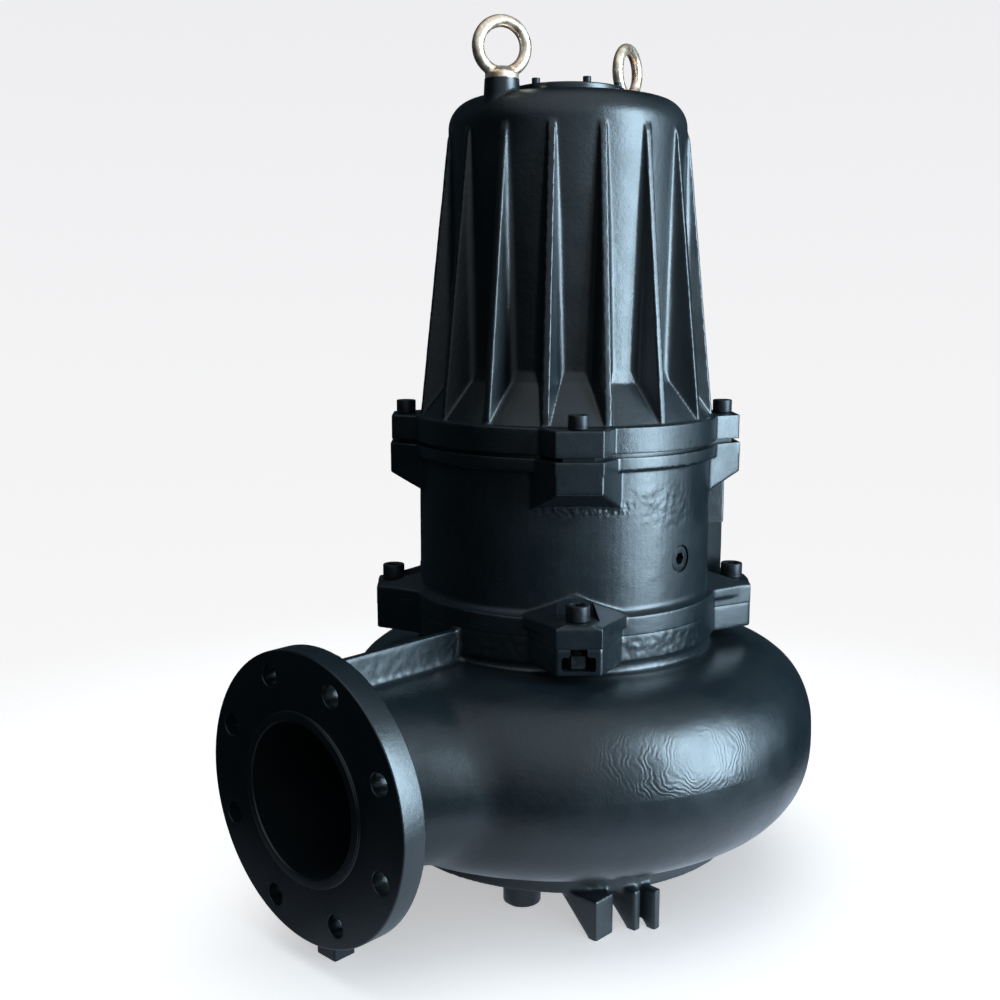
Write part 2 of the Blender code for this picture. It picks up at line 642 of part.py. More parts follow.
def top_cover():
    low = MH_TOP + GAP
    profile = [(0.0, TC_TOP), (TC_R - 2.0, TC_TOP), (TC_R, TC_TOP - 2.0), (TC_R, low), (0.0, low)]
    body = turned("top_cover", profile, 48, mat=enamel("cover_enamel"))
    cut(body, [rods("cut_cover_holes", M_COVER / 2.0 + GAP, low - 5.0, TC_TOP + 5.0, cover_screws(), 12,
                    cutter=True)])
    return body


def cap_screw(name, x, y, seat, d, length, flip=False):
    """Socket head cap screw with its head on the seat, or upside down under it."""
    head = d * 0.75
    profile = [(0.0, d), (head - 0.06 * d, d), (head, d - 0.06 * d), (head, 0.0), (d / 2.0, 0.0),
               (d / 2.0, -length), (0.0, -length)]
    frame = shift(x, y, seat)
    if flip:
        frame = frame @ Matrix.Rotation(pi, 4, "X")
    body = turned(name, profile, 16 if d > 10.0 else 12, frame, mat=STEEL)
    cut(body, [rods("cut_socket_" + name, d * 0.47, d * 0.5, d + 3.0, [(0.0, 0.0)], 6, frame, cutter=True)])
    return body


def fasteners():
    """All screws and nuts: four at each joint, six in the cover, three in the base ring."""
    corners = ("left_front", "right_front", "right_rear", "left_rear")
    for az, corner in zip(EAR_AZ, corners):
        x, y = polar(UP_PCR, az)
        cap_screw("motor_flange_screw_" + corner, x, y, MH_FL + GAP, M_UPPER, 46.0)
        x, y = polar(LO_PCR, az)
        cap_screw("casing_screw_" + corner, x, y, LO_SEAT + GAP, M_LOWER, LO_SEAT - V_TOP + 22.0)
        frame = shift(x, y, 0.0) @ spin_z(az)
        nut = rods("casing_nut_" + corner, 13.4, V_TOP - 21.0, V_TOP - 8.0 - GAP, [(0.0, 0.0)], 6, frame,
                   mat=STEEL)
        cut(nut, [rods("cut_nut_" + corner, M_LOWER / 2.0 + GAP, V_TOP - 30.0, V_TOP, [(0.0, 0.0)],
                       matrix=frame, cutter=True)])
    for i, (x, y) in enumerate(cover_screws()):
        cap_screw("cover_screw_%d" % (i + 1), x, y, TC_TOP + GAP, M_COVER, 18.0)
    for i, (x, y) in enumerate(stand_screws()):
        cap_screw("stand_screw_%d" % (i + 1), x, y, ST_SEAT - GAP, M_STAND, 42.0, flip=True)
    cap_screw("impeller_screw", 0.0, 0.0, 150.0 - GAP, M_STAND, 90.0, flip=True)


def oil_plug():
    """Hexagon socket plug, sunk a little in the wall of the seal housing."""
    out = SH_R - 1.5
    profile = [(0.0, out), (PLUG_R - 1.0, out), (PLUG_R, out - 1.0), (PLUG_R, out - 14.0), (0.0, out - 14.0)]
    body = turned("oil_plug", profile, 24, plug_frame(), mat=STEEL)
    cut(body, [rods("cut_plug_socket", 6.9, out - 8.0, out + 5.0, [(0.0, 0.0)], 6, plug_frame(),
                    cutter=True)])
    return body


def eye_bolt(name, y, az):
    """Lifting eye bolt M16: collar and shank with a forged ring on top."""
    seat = EYE_BOSS_TOP + GAP
    profile = [(0.0, seat + 12.0), (8.0, seat + 12.0), (11.0, seat + 9.5), (EYE_COLLAR_R - 1.5, seat + 7.0),
               (EYE_COLLAR_R, seat + 5.0), (EYE_COLLAR_R, seat), (8.0, seat), (8.0, seat - 26.0),
               (0.0, seat - 26.0)]
    body = turned(name, profile, 20, shift(0.0, y, 0.0), mat=ZINC)
    bpy.ops.mesh.primitive_torus_add(
        major_segments=28, minor_segments=10, major_radius=mm(EYE_RING_R), minor_radius=mm(EYE_ROD_R))
    torus = bpy.context.active_object
    mesh = torus.data
    bpy.data.objects.remove(torus, do_unlink=True)
    shade(mesh)
    frame = shift(0.0, y, seat + EYE_CENTRE) @ spin_z(az) @ UPRIGHT_X
    join(body, [add("cut_ring_" + name, mesh, frame, cutter=True)])
    return body


def cable_entry():
    """Screwed gland on the side away from the discharge, and the rubber bush inside it."""
    back = shift(0.0, 0.0, GLAND_Z) @ Matrix.Rotation(radians(-90.0), 4, "X")
    face = GLAND_SEAT
    hole = 12.0
    profile = [(hole, face + 34.0), (GLAND_R, face + 34.0), (GLAND_R + 2.0, face + 32.0),
               (GLAND_R + 2.0, face + 12.0), (GLAND_R + 7.0, face + 12.0), (GLAND_R + 7.0, face + GAP),
               (GLAND_R, face + GAP), (GLAND_R, face - 15.0), (hole, face - 15.0)]
    turned("cable_gland", profile, 24, back, mat=material("gland_enamel", (0.02, 0.022, 0.025), 0.45, 0.0))
    hole -= GAP
    profile = [(0.0, face + 32.0), (hole, face + 32.0), (hole, face - 12.0), (0.0, face - 12.0)]
    turned("cable_bush", profile, 20, back, mat=material("bush_rubber", (0.012, 0.012, 0.012), 0.8, 0.0))


volute_casing()
base_stand()
wear_ring()
impeller()
seal_housing()
motor_housing()
top_cover()
fasteners()
oil_plug()
eye_bolt("eye_bolt_front", -EYE_R, 60.5)
eye_bolt("eye_bolt_rear", EYE_R, 102.5)
cable_entry()
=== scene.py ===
# %% [markdown]
# # A sewage lift pump in black enamel
# The object is a submersible pump for waste water. A ribbed motor housing stands on a round seal
# housing, that stands on a spiral casing with a flanged outlet, and the casing stands on a cast ring
# with short legs. All of it is cast iron under satin black epoxy enamel, held by black screws, with
# two zinc-plated lifting eyes on top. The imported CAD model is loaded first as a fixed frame. It fixes
# every place and size, and each piece made below stands for one of its nodes.

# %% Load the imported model
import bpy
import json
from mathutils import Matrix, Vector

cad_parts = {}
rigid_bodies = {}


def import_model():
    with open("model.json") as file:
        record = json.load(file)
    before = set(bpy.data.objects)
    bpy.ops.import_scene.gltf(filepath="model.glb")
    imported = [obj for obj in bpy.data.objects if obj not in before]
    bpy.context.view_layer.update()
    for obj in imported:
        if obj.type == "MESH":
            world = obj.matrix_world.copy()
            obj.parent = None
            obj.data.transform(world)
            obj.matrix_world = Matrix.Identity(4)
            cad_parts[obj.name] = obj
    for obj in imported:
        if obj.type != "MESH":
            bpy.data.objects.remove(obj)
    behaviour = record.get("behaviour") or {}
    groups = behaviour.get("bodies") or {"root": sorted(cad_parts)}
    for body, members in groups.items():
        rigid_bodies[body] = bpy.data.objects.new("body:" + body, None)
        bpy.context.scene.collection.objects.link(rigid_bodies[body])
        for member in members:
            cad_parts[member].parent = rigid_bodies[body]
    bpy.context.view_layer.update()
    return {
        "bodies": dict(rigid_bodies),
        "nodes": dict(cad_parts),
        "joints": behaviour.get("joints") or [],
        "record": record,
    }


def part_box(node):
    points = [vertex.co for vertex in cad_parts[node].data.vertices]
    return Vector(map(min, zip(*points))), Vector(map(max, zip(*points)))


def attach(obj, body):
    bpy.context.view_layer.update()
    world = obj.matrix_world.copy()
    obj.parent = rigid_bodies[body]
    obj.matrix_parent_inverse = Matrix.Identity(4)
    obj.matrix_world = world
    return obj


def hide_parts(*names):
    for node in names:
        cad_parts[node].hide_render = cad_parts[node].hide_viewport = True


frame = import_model()

import bmesh
import bpy
import json
from math import cos, pi, radians, sin, tan
from mathutils import Matrix, Vector

print("nodes:", len(frame["nodes"]))


# %% [markdown]
# Everything on a pump is turned or bolted around its shaft, so the pieces are drawn in millimetres
# about the shaft and moved to it at the end. The round top cover is centred on the shaft, and its box
# says where that is. Directions around the shaft are azimuths in degrees, from +X towards +Y.

# %% Millimetres and the place of the shaft
def mm(value):
    return value / 1000.0


def shift(x, y, z):
    return Matrix.Translation((mm(x), mm(y), mm(z)))


def spin_z(az):
    return Matrix.Rotation(radians(az), 4, "Z")


def polar(r, az):
    return r * cos(radians(az)), r * sin(radians(az))


COVER_LOW, COVER_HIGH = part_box("top_cover")
SHAFT = Matrix.Translation(((COVER_LOW.x + COVER_HIGH.x) / 2.0, (COVER_LOW.y + COVER_HIGH.y) / 2.0, 0.0))
UPRIGHT_X = Matrix.Rotation(radians(90.0), 4, "X")      # outline (x, y) stands up as (x, z)
IDENTITY = Matrix.Identity(4)
print("shaft at", [round(value, 4) for value in SHAFT.translation])


# %% [markdown]
# The photograph is taken from a little above the outlet flange, from the front right. The camera's
# place and direction were fitted to the flange's bolt circle and the turned edges of the housings.

# %% Camera
CAMERA_PLACE = (0.8797, -0.9914, 0.6371)
CAMERA_LOOKS = Vector((-0.67961, 0.71505, -0.16380))
CAMERA_UP = Vector((-0.11395, 0.11767, 0.98649))
LENS = 44.76

lens = bpy.data.cameras.new("camera")
lens.lens = LENS
lens.sensor_fit = "HORIZONTAL"
lens.sensor_width = 36.0
camera = bpy.data.objects.new("camera", lens)
back = -CAMERA_LOOKS.normalized()
right = CAMERA_UP.cross(back).normalized()
up = back.cross(right)
camera.matrix_world = Matrix.Translation(CAMERA_PLACE) @ Matrix((right, up, back)).transposed().to_4x4()
bpy.context.scene.collection.objects.link(camera)
bpy.context.scene.camera = camera


# %% [markdown]
# One function turns a hex colour as a paint chart gives it, which is sRGB, to the linear numbers that
# a shader takes, and one adds a node with its settings and links.

# %% Colours and nodes
def colour(code):
    parts = [int(code[i:i + 2], 16) / 255.0 for i in (1, 3, 5)]
    return tuple(p / 12.92 if p <= 0.04045 else ((p + 0.055) / 1.055) ** 2.4 for p in parts) + (1.0,)


def node(tree, kind, settings=None, **links):
    """A node of that kind. Settings are its own properties, links its inputs by number or name."""
    made = tree.nodes.new("ShaderNode" + kind)
    for key, value in (settings or {}).items():
        setattr(made, key, value)
    for key, value in links.items():
        key = int(key[1:]) if key[0] == "i" and key[1:].isdigit() else key.replace("_", " ")
        if isinstance(value, bpy.types.NodeSocket):
            tree.links.new(value, made.inputs[key])
        else:
            made.inputs[key].default_value = value
    return made


def per_mm(size):
    """Noise scale at which a pattern's features are about that many millimetres wide."""
    return 1000.0 / size


# %% [markdown]
# ## Studio
# A product photograph stands the object on a pale sheet in a dark room with large soft lamps. One tall
# lamp stands on the right, level with the housings, because the bands of light on the round walls
# face that way, and a weaker glow comes from above in front. The left side sees only the dark room.
# The sheet glows a little and has a lamp of its own, so that it stays white under a black object. It
# is a disc that fades into the backdrop, so that no horizon shows. The pump sees only a painted pool
# of light around its feet: a glow of the sheet that only the pump's rays see, brighter on the side of
# the tall lamp. Two broad lamps, behind it and on its left, are left out of its reflections: they
# only lift those sides from black, and leave the sheen to the other lamps.

# %% Backdrop and room
GLOW_FROM = (0.44, -0.24, 0.7)           # where the weaker glow comes from

PUMP = bpy.data.collections.new("pump")
SHEET = bpy.data.collections.new("sheet")
for group in (PUMP, SHEET):
    bpy.context.scene.collection.children.link(group)

world = bpy.data.worlds.new("studio")
bpy.context.scene.world = world
world.use_nodes = True
sky = world.node_tree
sky.nodes.clear()
way = node(sky, "TexCoord").outputs["Generated"]
height = node(sky, "SeparateXYZ", i0=way).outputs["Z"]
tint = node(sky, "MapRange", Value=height, From_Min=0.22, From_Max=-0.5)
paper_tone = node(sky, "Mix", {"data_type": "RGBA"}, i0=tint.outputs[0], i6=colour("#eeeef0"),
                  i7=colour("#fbfbfb"))
backdrop = node(sky, "Background", Color=paper_tone.outputs[2], Strength=1.0)
ahead = node(sky, "VectorMath", {"operation": "DOT_PRODUCT"}, i0=way, i1=GLOW_FROM).outputs["Value"]
glow = node(sky, "MapRange", {"interpolation_type": "SMOOTHSTEP"}, Value=ahead, From_Min=0.25,
            From_Max=0.85, To_Min=0.01, To_Max=1.1)
room = node(sky, "Background", Color=colour("#e4f2fb"), Strength=glow.outputs[0])
ray = node(sky, "LightPath")
seen = node(sky, "MixShader", i0=ray.outputs["Is Camera Ray"], i1=room.outputs[0], i2=backdrop.outputs[0])
node(sky, "OutputWorld", Surface=seen.outputs[0])


# %% Floor
FLOOR_RADIUS = 2.0
FADE_START, FADE_END = 0.40, 1.25        # distances in metres at which the paper fades
# The pool of light is painted on the sheet as a glow, not lit by a lamp.
POOL_FULL, POOL_END = 0.32, 0.64         # distances at which the pool of light fades

bm = bmesh.new()
bmesh.ops.create_circle(bm, cap_ends=True, segments=96, radius=FLOOR_RADIUS)
floor_mesh = bpy.data.meshes.new("floor")
bm.to_mesh(floor_mesh)
bm.free()
floor = bpy.data.objects.new("floor", floor_mesh)
SHEET.objects.link(floor)

paper = bpy.data.materials.new("white_paper")
paper.use_nodes = True
tree = paper.node_tree
tree.nodes.clear()
place = node(tree, "TexCoord").outputs["Object"]
reach = node(tree, "VectorMath", {"operation": "LENGTH"}, i0=place).outputs["Value"]
fade = node(tree, "MapRange", {"interpolation_type": "SMOOTHSTEP"}, Value=reach, From_Min=FADE_START,
            From_Max=FADE_END)
sheet = node(tree, "BsdfDiffuse", Color=colour("#f4f4f5"))
lit = node(tree, "Emission", Color=colour("#fbfbfc"), Strength=0.47)
shown = node(tree, "AddShader", i0=sheet.outputs[0], i1=lit.outputs[0])
# Painted pool of light: a glow that only the pump's rays see. It fades away from the feet and is brighter on
# the side of the tall lamp.
near = node(tree, "MapRange", {"interpolation_type": "SMOOTHSTEP"}, Value=reach, From_Min=POOL_FULL,
            From_Max=POOL_END, To_Min=1.0, To_Max=0.0)
across = node(tree, "SeparateXYZ", i0=place).outputs["X"]
side = node(tree, "MapRange", Value=across, From_Min=-0.08, From_Max=0.38, To_Min=0.15, To_Max=1.9)
painted_pool = node(tree, "Math", {"operation": "MULTIPLY"}, i0=near.outputs[0], i1=side.outputs[0])
painted_pool_glow = node(tree, "Emission", Color=colour("#d6e8fb"), Strength=painted_pool.outputs[0])
ray = node(tree, "LightPath").outputs["Is Camera Ray"]
look = node(tree, "MixShader", i0=ray, i1=painted_pool_glow.outputs[0], i2=shown.outputs[0])
clear = node(tree, "BsdfTransparent")
mixed = node(tree, "MixShader", i0=fade.outputs[0], i1=look.outputs[0], i2=clear.outputs[0])
node(tree, "OutputMaterial", Surface=mixed.outputs[0])
floor_mesh.materials.append(paper)


# %% Lamps
def lamp(name, az, elevation, distance, width, height, power, tint, lights, aim=0.42):
    """Soft box that looks at the pump from a direction around it and lights one group only.
    Angles are in degrees, sizes in metres and power in watts."""
    data = bpy.data.lights.new(name, "AREA")
    data.shape = "RECTANGLE"
    data.size = width
    data.size_y = height
    data.energy = power
    data.color = colour(tint)[:3]
    ob = bpy.data.objects.new(name, data)
    target = Vector((0.0, 0.0, aim))
    x, y = polar(distance * cos(radians(elevation)), az)
    ob.location = target + Vector((x, y, distance * sin(radians(elevation))))
    ob.rotation_euler = (target - ob.location).to_track_quat("-Z", "Y").to_euler()
    ob.visible_camera = False
    ob.light_linking.receiver_collection = lights
    bpy.context.scene.collection.objects.link(ob)
    return ob


lamp("key_lamp", 15.0, 12.0, 2.2, 1.2, 2.0, 190.0, "#ccebff", PUMP)
lamp("rear_lamp", 42.0, 6.0, 2.4, 1.0, 1.5, 11.0, "#ccebff", PUMP)
for name, az, power in (("back_fill", 120.0, 300.0), ("left_fill", 180.0, 110.0)):
    fill = lamp(name, az, 24.0, 2.4, 2.4, 2.4, power, "#e2f2fb", PUMP)
    fill.visible_glossy = False
lamp("sheet_lamp", 150.0, 80.0, 2.4, 3.2, 3.2, 37.0, "#fff7ee", SHEET)
bpy.context.scene.view_settings.view_transform = "Standard"


# %% [markdown]
# ## Finishes
# **Epoxy enamel on cast iron.** The castings come out of sand moulds with a grain of about a
# millimetre and a gentle unevenness of a few centimetres. Two coats of black epoxy enamel fill the
# grain halfway and dry with a satin skin like orange peel. To the eye it is nearly black, and its
# light comes from soft reflections that the unevenness breaks up. The bump nodes hold the grain, the
# skin and the run rings of enamel; the unevenness of the castings is in their meshes.

# %% Enamel
RIPPLE_SPOT = (0.2431, -0.0576, 0.2055)  # middle of the run rings, in metres
RIPPLE_WIDTH, RIPPLE_DRIFT, LEDGE_HEIGHT = 5.5, 34.0, 1.3


def product(tree, *values):
    """The values multiplied."""
    total = values[0]
    for value in values[1:]:
        total = node(tree, "Math", {"operation": "MULTIPLY"}, i0=total, i1=value).outputs[0]
    return total


def ramp(tree, value, start, end):
    """0 at the start, 1 at the end, and a soft S between them, in metres."""
    return node(tree, "MapRange", {"interpolation_type": "SMOOTHSTEP"}, Value=value, From_Min=start,
                From_Max=end).outputs[0]


def rippled(tree, place, normal, height):
    """Rings of run enamel around one spot of the belly, over a ledge where the mould closed."""
    axes = node(tree, "SeparateXYZ", i0=place)
    far = node(tree, "VectorMath", {"operation": "DISTANCE"}, i0=place, i1=RIPPLE_SPOT).outputs["Value"]
    drift = node(tree, "TexNoise", Vector=place, Scale=per_mm(26.0), Detail=2.0, Roughness=0.5).outputs[0]
    bent = node(tree, "Math", {"operation": "MULTIPLY_ADD"}, i0=drift, i1=mm(RIPPLE_DRIFT), i2=far)
    turns = node(tree, "Math", {"operation": "MULTIPLY"}, i0=bent.outputs[0], i1=2.0 * pi / mm(RIPPLE_WIDTH))
    rings = node(tree, "Math", {"operation": "SINE"}, i0=turns.outputs[0]).outputs[0]
    front = product(tree, ramp(tree, axes.outputs["X"], 0.10, 0.16),
                    ramp(tree, axes.outputs["Y"], 0.06, -0.02))
    spread = node(tree, "TexNoise", Vector=place, Scale=per_mm(22.0), Detail=3.0, Roughness=0.6).outputs[0]
    strong = product(tree, ramp(tree, far, 0.125, 0.07), ramp(tree, far, -0.025, 0.05),
                     ramp(tree, spread, 0.36, 0.6))
    up = axes.outputs["Z"]
    belly = product(tree, ramp(tree, up, 0.168, 0.180), ramp(tree, up, 0.242, 0.215))
    fall = node(tree, "MapRange", Value=up, From_Min=0.172, From_Max=0.222, To_Min=1.0, To_Max=0.0).outputs[0]
    ledge = node(tree, "Bump", Strength=1.0, Distance=mm(LEDGE_HEIGHT),
                 Height=product(tree, fall, fall, front), Normal=normal)
    run = node(tree, "Bump", Strength=1.0, Distance=mm(height), Normal=ledge.outputs[0],
               Height=product(tree, rings, front, strong, belly))
    return run.outputs[0]


def epoxy_enamel(name, grain, wave, shine, pits=0.0, ripple=0.0):
    """Black enamel. Grain, wave and ripple are bump heights in millimetres, shine is the mean roughness."""
    mat = bpy.data.materials.new(name)
    mat.use_nodes = True
    tree = mat.node_tree
    tree.nodes.clear()
    place = node(tree, "TexCoord").outputs["Object"]
    sand = node(tree, "TexNoise", Vector=place, Scale=per_mm(1.9), Detail=4.0, Roughness=0.6)
    skin = node(tree, "TexNoise", Vector=place, Scale=per_mm(5.0), Detail=2.0, Roughness=0.5)
    wide = node(tree, "TexNoise", Vector=place, Scale=per_mm(60.0), Detail=3.0, Roughness=0.55)
    holes = node(tree, "TexVoronoi", Vector=place, Scale=per_mm(7.0), Randomness=1.0)
    pit = node(tree, "MapRange", Value=holes.outputs["Distance"], From_Min=0.0, From_Max=0.16,
               To_Min=0.0, To_Max=1.0)
    dull = node(tree, "MapRange", Value=wide.outputs[0], From_Min=0.3, From_Max=0.7,
                To_Min=shine - 0.05, To_Max=shine + 0.07)
    tone = node(tree, "Mix", {"data_type": "RGBA"}, i0=skin.outputs[0], i6=colour("#070c0f"),
                i7=colour("#0c1418"))
    deep = node(tree, "Bump", Strength=1.0, Distance=mm(wave), Height=skin.outputs[0])
    fine = node(tree, "Bump", Strength=1.0, Distance=mm(grain), Height=sand.outputs[0],
                Normal=deep.outputs[0])
    last = node(tree, "Bump", Strength=1.0, Distance=mm(pits), Height=pit.outputs[0],
                Normal=fine.outputs[0])
    relief = rippled(tree, place, last.outputs[0], ripple) if ripple else last.outputs[0]
    shader = node(tree, "BsdfPrincipled", Base_Color=tone.outputs[2], Roughness=dull.outputs[0],
                  Normal=relief, IOR=1.5, Specular_IOR_Level=0.5)
    node(tree, "OutputMaterial", Surface=shader.outputs[0])
    return mat


CASING_ENAMEL = epoxy_enamel("epoxy_enamel_casing", 0.10, 0.13, 0.32, 0.05, 0.07)
STAND_ENAMEL = epoxy_enamel("epoxy_enamel_stand", 0.16, 0.35, 0.42, 0.05)
SEAL_ENAMEL = epoxy_enamel("epoxy_enamel_seal_housing", 0.12, 0.08, 0.33, 0.03)
MOTOR_ENAMEL = epoxy_enamel("epoxy_enamel_motor", 0.13, 0.17, 0.34, 0.02)
COVER_ENAMEL = epoxy_enamel("epoxy_enamel_cover", 0.08, 0.06, 0.28)
GLAND_ENAMEL = epoxy_enamel("epoxy_enamel_gland", 0.04, 0.10, 0.40)


# %% [markdown]
# **Screws, lifting eyes and bare iron.** The screws are steel with a black oxide skin: dark, with a
# dull metal shine. The lifting eyes are forged and zinc-plated, so they are bright, a little warm,
# with shallow forging waves. The impeller and the wear ring are bare cast iron, dark grey with brown
# bloom. The cable bush is black rubber.

# %% Metals and rubber
def metal(name, dark, light, rough, patch, bump, metallic=1.0):
    """Metal whose colour and roughness vary in patches that many millimetres wide."""
    mat = bpy.data.materials.new(name)
    mat.use_nodes = True
    tree = mat.node_tree
    tree.nodes.clear()
    place = node(tree, "TexCoord").outputs["Object"]
    cloud = node(tree, "TexNoise", Vector=place, Scale=per_mm(patch), Detail=5.0, Roughness=0.6)
    fine = node(tree, "TexNoise", Vector=place, Scale=per_mm(patch / 6.0), Detail=3.0, Roughness=0.6)
    share = node(tree, "MapRange", Value=cloud.outputs[0], From_Min=0.35, From_Max=0.65)
    tone = node(tree, "Mix", {"data_type": "RGBA"}, i0=share.outputs[0], i6=colour(dark), i7=colour(light))
    dull = node(tree, "MapRange", Value=cloud.outputs[0], From_Min=0.3, From_Max=0.7,
                To_Min=rough - 0.05, To_Max=rough + 0.08)
    relief = node(tree, "Bump", Strength=1.0, Distance=mm(bump), Height=fine.outputs[0])
    shader = node(tree, "BsdfPrincipled", Base_Color=tone.outputs[2], Roughness=dull.outputs[0],
                  Normal=relief.outputs[0], Metallic=metallic)
    node(tree, "OutputMaterial", Surface=shader.outputs[0])
    return mat


BLACK_OXIDE = metal("black_oxide_steel", "#15171a", "#24272b", 0.40, 5.0, 0.03, 0.6)
ZINC = metal("zinc_plated_steel", "#cfa888", "#fff0dc", 0.28, 9.0, 0.02, 0.9)
TURNED_IRON = metal("turned_cast_iron", "#55504a", "#6e6862", 0.42, 8.0, 0.05)
CAST_IRON = metal("bare_cast_iron", "#332e29", "#4a443d", 0.55, 7.0, 0.20)
RUBBER = metal("cable_rubber", "#0c0c0c", "#141414", 0.75, 6.0, 0.03, 0.0)


# %% [markdown]
# ## Shapes
# A foundry makes a casting from simple bodies, pours it whole, and then machines the faces that have
# to fit. The pieces are made in the same order: turned, flat and round blanks that overlap, a skin
# drawn over all of them, and cuts with sharp edges where the real one is machined. Each maker below
# starts from a few vertices or a bmesh shape and gives a closed bmesh.

# %% Blanks
SIDES = 128
MANY = 100000                            # more than a blank has corners, or hundredths of a millimetre


def ordered(bm):
    """The same faces come in another order each run, and thinning would follow it."""
    def corners(face):
        first, second, third = sorted(vert.index for vert in face.verts)[:3]
        return (first * MANY + second) * MANY + third

    bm.verts.index_update()
    bm.faces.sort(key=corners)
    return bm


def renewed(bm):
    """The same body with its corners by place and its faces by corner: a cut leaves both mixed."""
    def place(vert):
        x, y, z = (round(value * MANY) for value in vert.co)
        return (z * MANY + y) * MANY + x

    bm.verts.sort(key=place)
    bm.verts.index_update()
    faces = []
    for face in bm.faces:
        corners = [vert.index for vert in face.verts]
        first = corners.index(min(corners))
        faces.append(corners[first:] + corners[:first])
    whole = bmesh.new()
    verts = [whole.verts.new(vert.co) for vert in bm.verts]
    for corners in sorted(faces):
        whole.faces.new([verts[i] for i in corners])
    bm.free()
    return whole


def turned(profile, matrix=IDENTITY, sides=SIDES):
    """Body of revolution. The profile holds (radius, height), outer side from top to bottom."""
    bm = bmesh.new()
    line = [bm.verts.new((mm(r), 0.0, mm(z))) for r, z in profile]
    edges = [bm.edges.new(pair) for pair in zip(line, line[1:])]
    if profile[0][0] > 0.0:
        edges.append(bm.edges.new((line[-1], line[0])))
    bmesh.ops.spin(
        bm, geom=line + edges, axis=(0, 0, 1), cent=(0, 0, 0), steps=sides, angle=2.0 * pi,
        use_merge=True)
    bmesh.ops.remove_doubles(bm, verts=bm.verts, dist=mm(0.005))
    bmesh.ops.transform(bm, matrix=matrix, verts=bm.verts)
    bmesh.ops.recalc_face_normals(bm, faces=bm.faces)
    return ordered(bm)


def rectangle(x0, x1, y0, y1):
    return [(x0, y0), (x1, y0), (x1, y1), (x0, y1)]


def square(half):
    return rectangle(-half, half, -half, half)


def slab(outline, low, high, matrix=IDENTITY):
    """Flat outline of (x, y) points, extruded from height low to height high."""
    bm = bmesh.new()
    face = bm.faces.new([bm.verts.new((mm(x), mm(y), mm(low))) for x, y in outline])
    lid = bmesh.ops.extrude_face_region(bm, geom=[face])["geom"]
    verts = [part for part in lid if isinstance(part, bmesh.types.BMVert)]
    bmesh.ops.translate(bm, verts=verts, vec=(0.0, 0.0, mm(high - low)))
    bmesh.ops.transform(bm, matrix=matrix, verts=bm.verts)
    bmesh.ops.recalc_face_normals(bm, faces=bm.faces)
    return ordered(bm)


def rods(radius, low, high, places=((0.0, 0.0),), matrix=IDENTITY, sides=32):
    """Round bars along Z from height low to height high, one at each (x, y) place."""
    bm = bmesh.new()
    for x, y in places:
        bar = bmesh.ops.create_cone(
            bm, cap_ends=True, segments=sides, radius1=mm(radius), radius2=mm(radius),
            depth=mm(high - low))
        bmesh.ops.translate(bm, verts=bar["verts"], vec=(mm(x), mm(y), mm((low + high) / 2.0)))
    bmesh.ops.transform(bm, matrix=matrix, verts=bm.verts)
    return bm


def lofted(loops):
    """Closed body through loops of points, each bridged to the next and the ends filled."""
    bm = bmesh.new()
    rings = []
    for loop in loops:
        verts = [bm.verts.new((mm(x), mm(y), mm(z))) for x, y, z in loop]
        rings.append([bm.edges.new(pair) for pair in zip(verts, verts[1:] + verts[:1])])
    for near, far in zip(rings, rings[1:]):
        bmesh.ops.bridge_loops(bm, edges=near + far)
    for end in (rings[0], rings[-1]):
        bmesh.ops.contextual_create(bm, geom=end)
    bmesh.ops.recalc_face_normals(bm, faces=bm.faces)
    return bm


def trimmed(bm, point, normal):
    """Takes away what lies beyond a plane and closes the cut."""
    geom = bm.verts[:] + bm.edges[:] + bm.faces[:]
    bmesh.ops.bisect_plane(
        bm, geom=geom, plane_co=Vector(point) / 1000.0, plane_no=normal, clear_outer=True)
    bmesh.ops.contextual_create(bm, geom=[edge for edge in bm.edges if edge.is_boundary])
    bmesh.ops.recalc_face_normals(bm, faces=bm.faces)
    return bm


def placed(bm, matrix):
    bmesh.ops.transform(bm, matrix=matrix, verts=bm.verts)
    return bm


def joined(parts):
    """One bmesh that holds all the parts, which are used up."""
    whole = bmesh.new()
    for part in parts:
        mesh = bpy.data.meshes.new("part")
        part.to_mesh(mesh)
        part.free()
        whole.from_mesh(mesh)
        bpy.data.meshes.remove(mesh)
    return whole


# %% [markdown]
# The skin over the blanks is a voxel remesh: it joins the overlapping bodies to one closed surface.
# A few rounds of smoothing turn its edges and corners to the fillets that a mould needs, about two
# millimetres wide, and a weak cloud pattern moves the surface by some tenths of a millimetre, as
# sand and enamel do. Thinning takes out the small faces where the surface is flat.

# %% Casting and machining
def body(name, bm):
    mesh = bpy.data.meshes.new(name)
    bm.to_mesh(mesh)
    bm.free()
    ob = bpy.data.objects.new(name, mesh)
    PUMP.objects.link(ob)
    return ob


def bake(ob):
    """Applies the modifiers to the mesh."""
    graph = bpy.context.evaluated_depsgraph_get()
    mesh = bpy.data.meshes.new_from_object(ob.evaluated_get(graph))
    ob.modifiers.clear()
    ob.data = mesh
    return ob


def cloud(name, size, depth=3):
    """Soft noise whose clouds are that many millimetres wide, to move a surface by."""
    made = bpy.data.textures.new(name, "CLOUDS")
    made.noise_scale = mm(size)
    made.noise_depth = depth
    return made


def wave(ob, name, height, size, group="", level=0.5):
    """Moves the surface by a cloud pattern. Where the pattern is at its level, nothing moves."""
    step = ob.modifiers.new(name, "DISPLACE")
    step.texture = cloud(ob.name + "_" + name, size)
    step.texture_coords = "LOCAL"
    step.strength = mm(height)
    step.mid_level = level
    step.vertex_group = group


def band(value, start, full, last, end):
    """0 outside start and end, 1 between full and last, and a ramp on both sides."""
    return max(0.0, min(1.0, (value - start) / (full - start), (end - value) / (end - last)))


